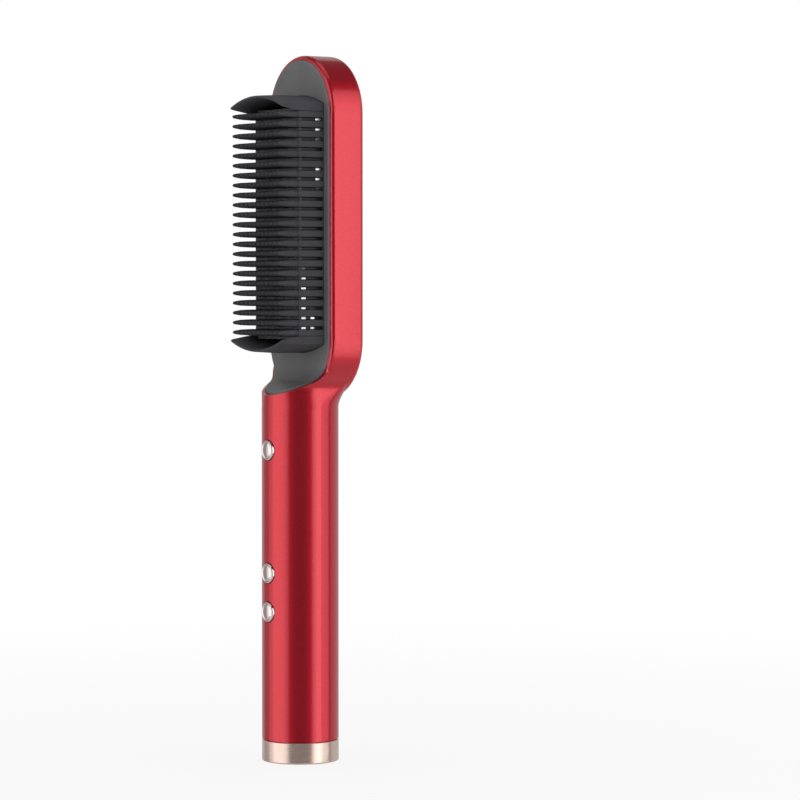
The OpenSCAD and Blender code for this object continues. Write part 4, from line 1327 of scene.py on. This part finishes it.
@dataclass
class Studio:
    """Pale floor, white surroundings, a tent of screens and a soft lamp."""

    floor_size: float = 30.0
    floor_level: float = 0.86
    floor_roughness: float = 0.9
    floor_share: float = 0.82
    floor_fade: Pair = (0.12, 0.6)
    tent_radius: float = 2.2
    ceiling: float = 0.08
    world_level: float = 0.8
    overhead_power: float = 2.0
    overhead_height: float = 1.5
    overhead_size: Pair = (1.0, 1.0)
    pit: float = 0.5

    def build(self) -> None:
        """Builds floor, world, tent and lamp."""
        self.build_floor()
        self.build_world()
        for number, screen in enumerate(TENT):
            self.build_screen(f"screen_{number}", screen)
        self.build_cover("ceiling", TENT_HIGH, self.ceiling)
        self.build_cover("pit", TENT_LOW, self.pit)
        self.place_overhead()
        LOG.info("studio built")

    def build_floor(self) -> None:
        """Builds the floor, which keeps the object's shadow and fades out to white."""
        bm = bmesh.new()
        bmesh.ops.create_grid(bm, x_segments=1, y_segments=1, size=self.floor_size)
        material = bpy.data.materials.new("floor_paper")
        material.use_nodes = True
        tree = material.node_tree
        shader = tree.nodes["Principled BSDF"]
        shader.inputs["Base Color"].default_value = (*[self.floor_level] * 3, 1.0)
        shader.inputs["Roughness"].default_value = self.floor_roughness
        white = tree.nodes.new("ShaderNodeEmission")
        white.inputs["Strength"].default_value = 1.0
        mix = tree.nodes.new("ShaderNodeMixShader")
        tree.links.new(combine(tree, "MULTIPLY", self.seen_rays(tree), self.fade(tree)), mix.inputs["Fac"])
        tree.links.new(shader.outputs["BSDF"], mix.inputs[1])
        tree.links.new(white.outputs["Emission"], mix.inputs[2])
        tree.links.new(mix.outputs["Shader"], tree.nodes["Material Output"].inputs["Surface"])
        self.link_stage(bm, "floor", material).visible_glossy = False

    def fade(self, tree: bpy.types.NodeTree) -> bpy.types.NodeSocket:
        """Adds a value that rises to 1 with the distance from the object.

        Args:
            tree: Node tree that gets the nodes.

        Returns:
            The value's socket.
        """
        place = tree.nodes.new("ShaderNodeTexCoord")
        length = tree.nodes.new("ShaderNodeVectorMath")
        length.operation = "LENGTH"
        tree.links.new(place.outputs["Object"], length.inputs[0])
        return map_range(
            tree, length.outputs["Value"], self.floor_fade, (self.floor_share, 1.0), smooth=True)

    @staticmethod
    def link_stage(bm: bmesh.types.BMesh, name: str, material: bpy.types.Material) -> bpy.types.Object:
        """Turns a shape into a stage object.

        Args:
            bm: The shape, which is freed.
            name: Name of the object.
            material: Its material.

        Returns:
            The object.
        """
        mesh = bpy.data.meshes.new(name)
        bm.to_mesh(mesh)
        bm.free()
        mesh.materials.append(material)
        thing = add_object(name, mesh)
        return thing

    @staticmethod
    def seen_rays(tree: bpy.types.NodeTree) -> bpy.types.NodeSocket:
        """Adds a value that is 1 for camera, glossy and transmission rays.

        Args:
            tree: Node tree that gets the nodes.

        Returns:
            The value's socket.
        """
        path = tree.nodes.new("ShaderNodeLightPath")
        total = path.outputs["Is Camera Ray"]
        for name in ("Is Glossy Ray", "Is Transmission Ray"):
            total = combine(tree, "MAXIMUM", total, path.outputs[name])
        return total

    def build_world(self) -> None:
        """Builds white surroundings that light the object at a plain level."""
        world = bpy.data.worlds.new("studio")
        world.use_nodes = True
        bpy.context.scene.world = world
        tree = world.node_tree
        back = tree.nodes["Background"]
        back.inputs["Color"].default_value = (1.0, 1.0, 1.0, 1.0)
        level = map_range(tree, self.seen_rays(tree), (0.0, 1.0), (self.world_level, 1.0))
        tree.links.new(level, back.inputs["Strength"])

    @staticmethod
    def glow(name: str, level: float) -> bpy.types.Material:
        """Makes the material of a screen.

        Args:
            name: Its name.
            level: How bright it is, 1 being white.

        Returns:
            The material.
        """
        material = bpy.data.materials.new(name)
        material.use_nodes = True
        tree = material.node_tree
        tree.nodes.remove(tree.nodes["Principled BSDF"])
        light = tree.nodes.new("ShaderNodeEmission")
        light.inputs["Strength"].default_value = level
        tree.links.new(light.outputs["Emission"], tree.nodes["Material Output"].inputs["Surface"])
        return material

    @staticmethod
    def hide_from_all_but_gloss(thing: bpy.types.Object) -> None:
        """Keeps a stage object out of sight, out of the diffuse light and without shadow."""
        thing.visible_camera = False
        thing.visible_diffuse = False
        thing.visible_transmission = False
        thing.visible_shadow = False

    def build_screen(self, name: str, screen: Screen) -> None:
        """Builds one curved screen.

        Args:
            name: Its name.
            screen: Its place, size and level.
        """
        bm = bmesh.new()
        start = toward(CAMERA_AZIMUTH + screen.start) * self.tent_radius
        foot = bm.verts.new((start.x, start.y, screen.low))
        top = bm.verts.new((start.x, start.y, screen.high))
        edge = bm.edges.new((foot, top))
        bmesh.ops.spin(
            bm, geom=[foot, top, edge], cent=(0.0, 0.0, 0.0), axis=(0.0, 0.0, 1.0),
            angle=math.radians(screen.end - screen.start), steps=12)
        self.hide_from_all_but_gloss(self.link_stage(bm, name, self.glow(name, screen.level)))

    def build_cover(self, name: str, height: float, level: float) -> None:
        """Builds the darker cover at one end of the tent.

        Args:
            name: Its name.
            height: Its height.
            level: How bright it is.
        """
        bm = bmesh.new()
        bmesh.ops.create_circle(bm, cap_ends=True, segments=48, radius=self.tent_radius)
        bmesh.ops.translate(bm, vec=(0.0, 0.0, height), verts=bm.verts)
        self.hide_from_all_but_gloss(self.link_stage(bm, name, self.glow(name, level)))

    def place_overhead(self) -> None:
        """Places the area lamp that lights the object from above."""
        data = bpy.data.lights.new("overhead", "AREA")
        data.shape = "RECTANGLE"
        data.size, data.size_y = self.overhead_size
        data.energy = self.overhead_power
        add_object("overhead", data).location = (0.0, 0.0, self.overhead_height)


@dataclass
class Viewpoint:
    """Camera at the photograph's viewing angle and framing."""

    distance: float = 1.3
    height: float = 0.185
    scale: float = 2562.0
    frame_px: float = 800.0
    axis_px: float = 300.0
    base_px: float = 761.0
    sensor: float = 36.0

    def build(self) -> None:
        """Builds the camera and makes it the scene's."""
        right = toward(CAMERA_AZIMUTH + 90.0)
        data = bpy.data.cameras.new("camera")
        data.sensor_width = self.sensor
        data.lens = self.scale * self.distance / self.frame_px * self.sensor
        camera = add_object("camera", data)
        camera.location = toward(CAMERA_AZIMUTH) * self.distance
        camera.location.z = self.height
        aim = right * ((self.frame_px / 2 - self.axis_px) / self.scale)
        aim.z = (self.base_px - self.frame_px / 2) / self.scale
        camera.rotation_euler = (aim - camera.location).to_track_quat("-Z", "Y").to_euler()
        bpy.context.scene.camera = camera
        LOG.info("camera placed")


def main() -> None:
    """Loads the frame and builds everything around it."""
    logging.basicConfig(level=logging.INFO, format="%(name)s: %(message)s")
    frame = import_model()
    bpy.context.scene.view_settings.view_transform = "Standard"
    paint = PaintShop()
    Viewpoint().build()
    Studio().build()
    Nodes(frame, paint).dress()
    shop = Workshop(paint)
    skin = SmoothSkin(shop, frame["nodes"])
    skin.build("body_shell", "red_lacquer")
    skin.build("face_frame", "grey_plastic")
    CombGuard(shop).build()
    HeatingFins(shop).build()
    BackTrim(shop).build()
    PressButtons(shop, {"power": 121.7, "plus": 73.9, "minus": 58.8}).build()
    BaseRing(shop).build()
    SwivelGland(shop).build()


if __name__ == "__main__":
    main()
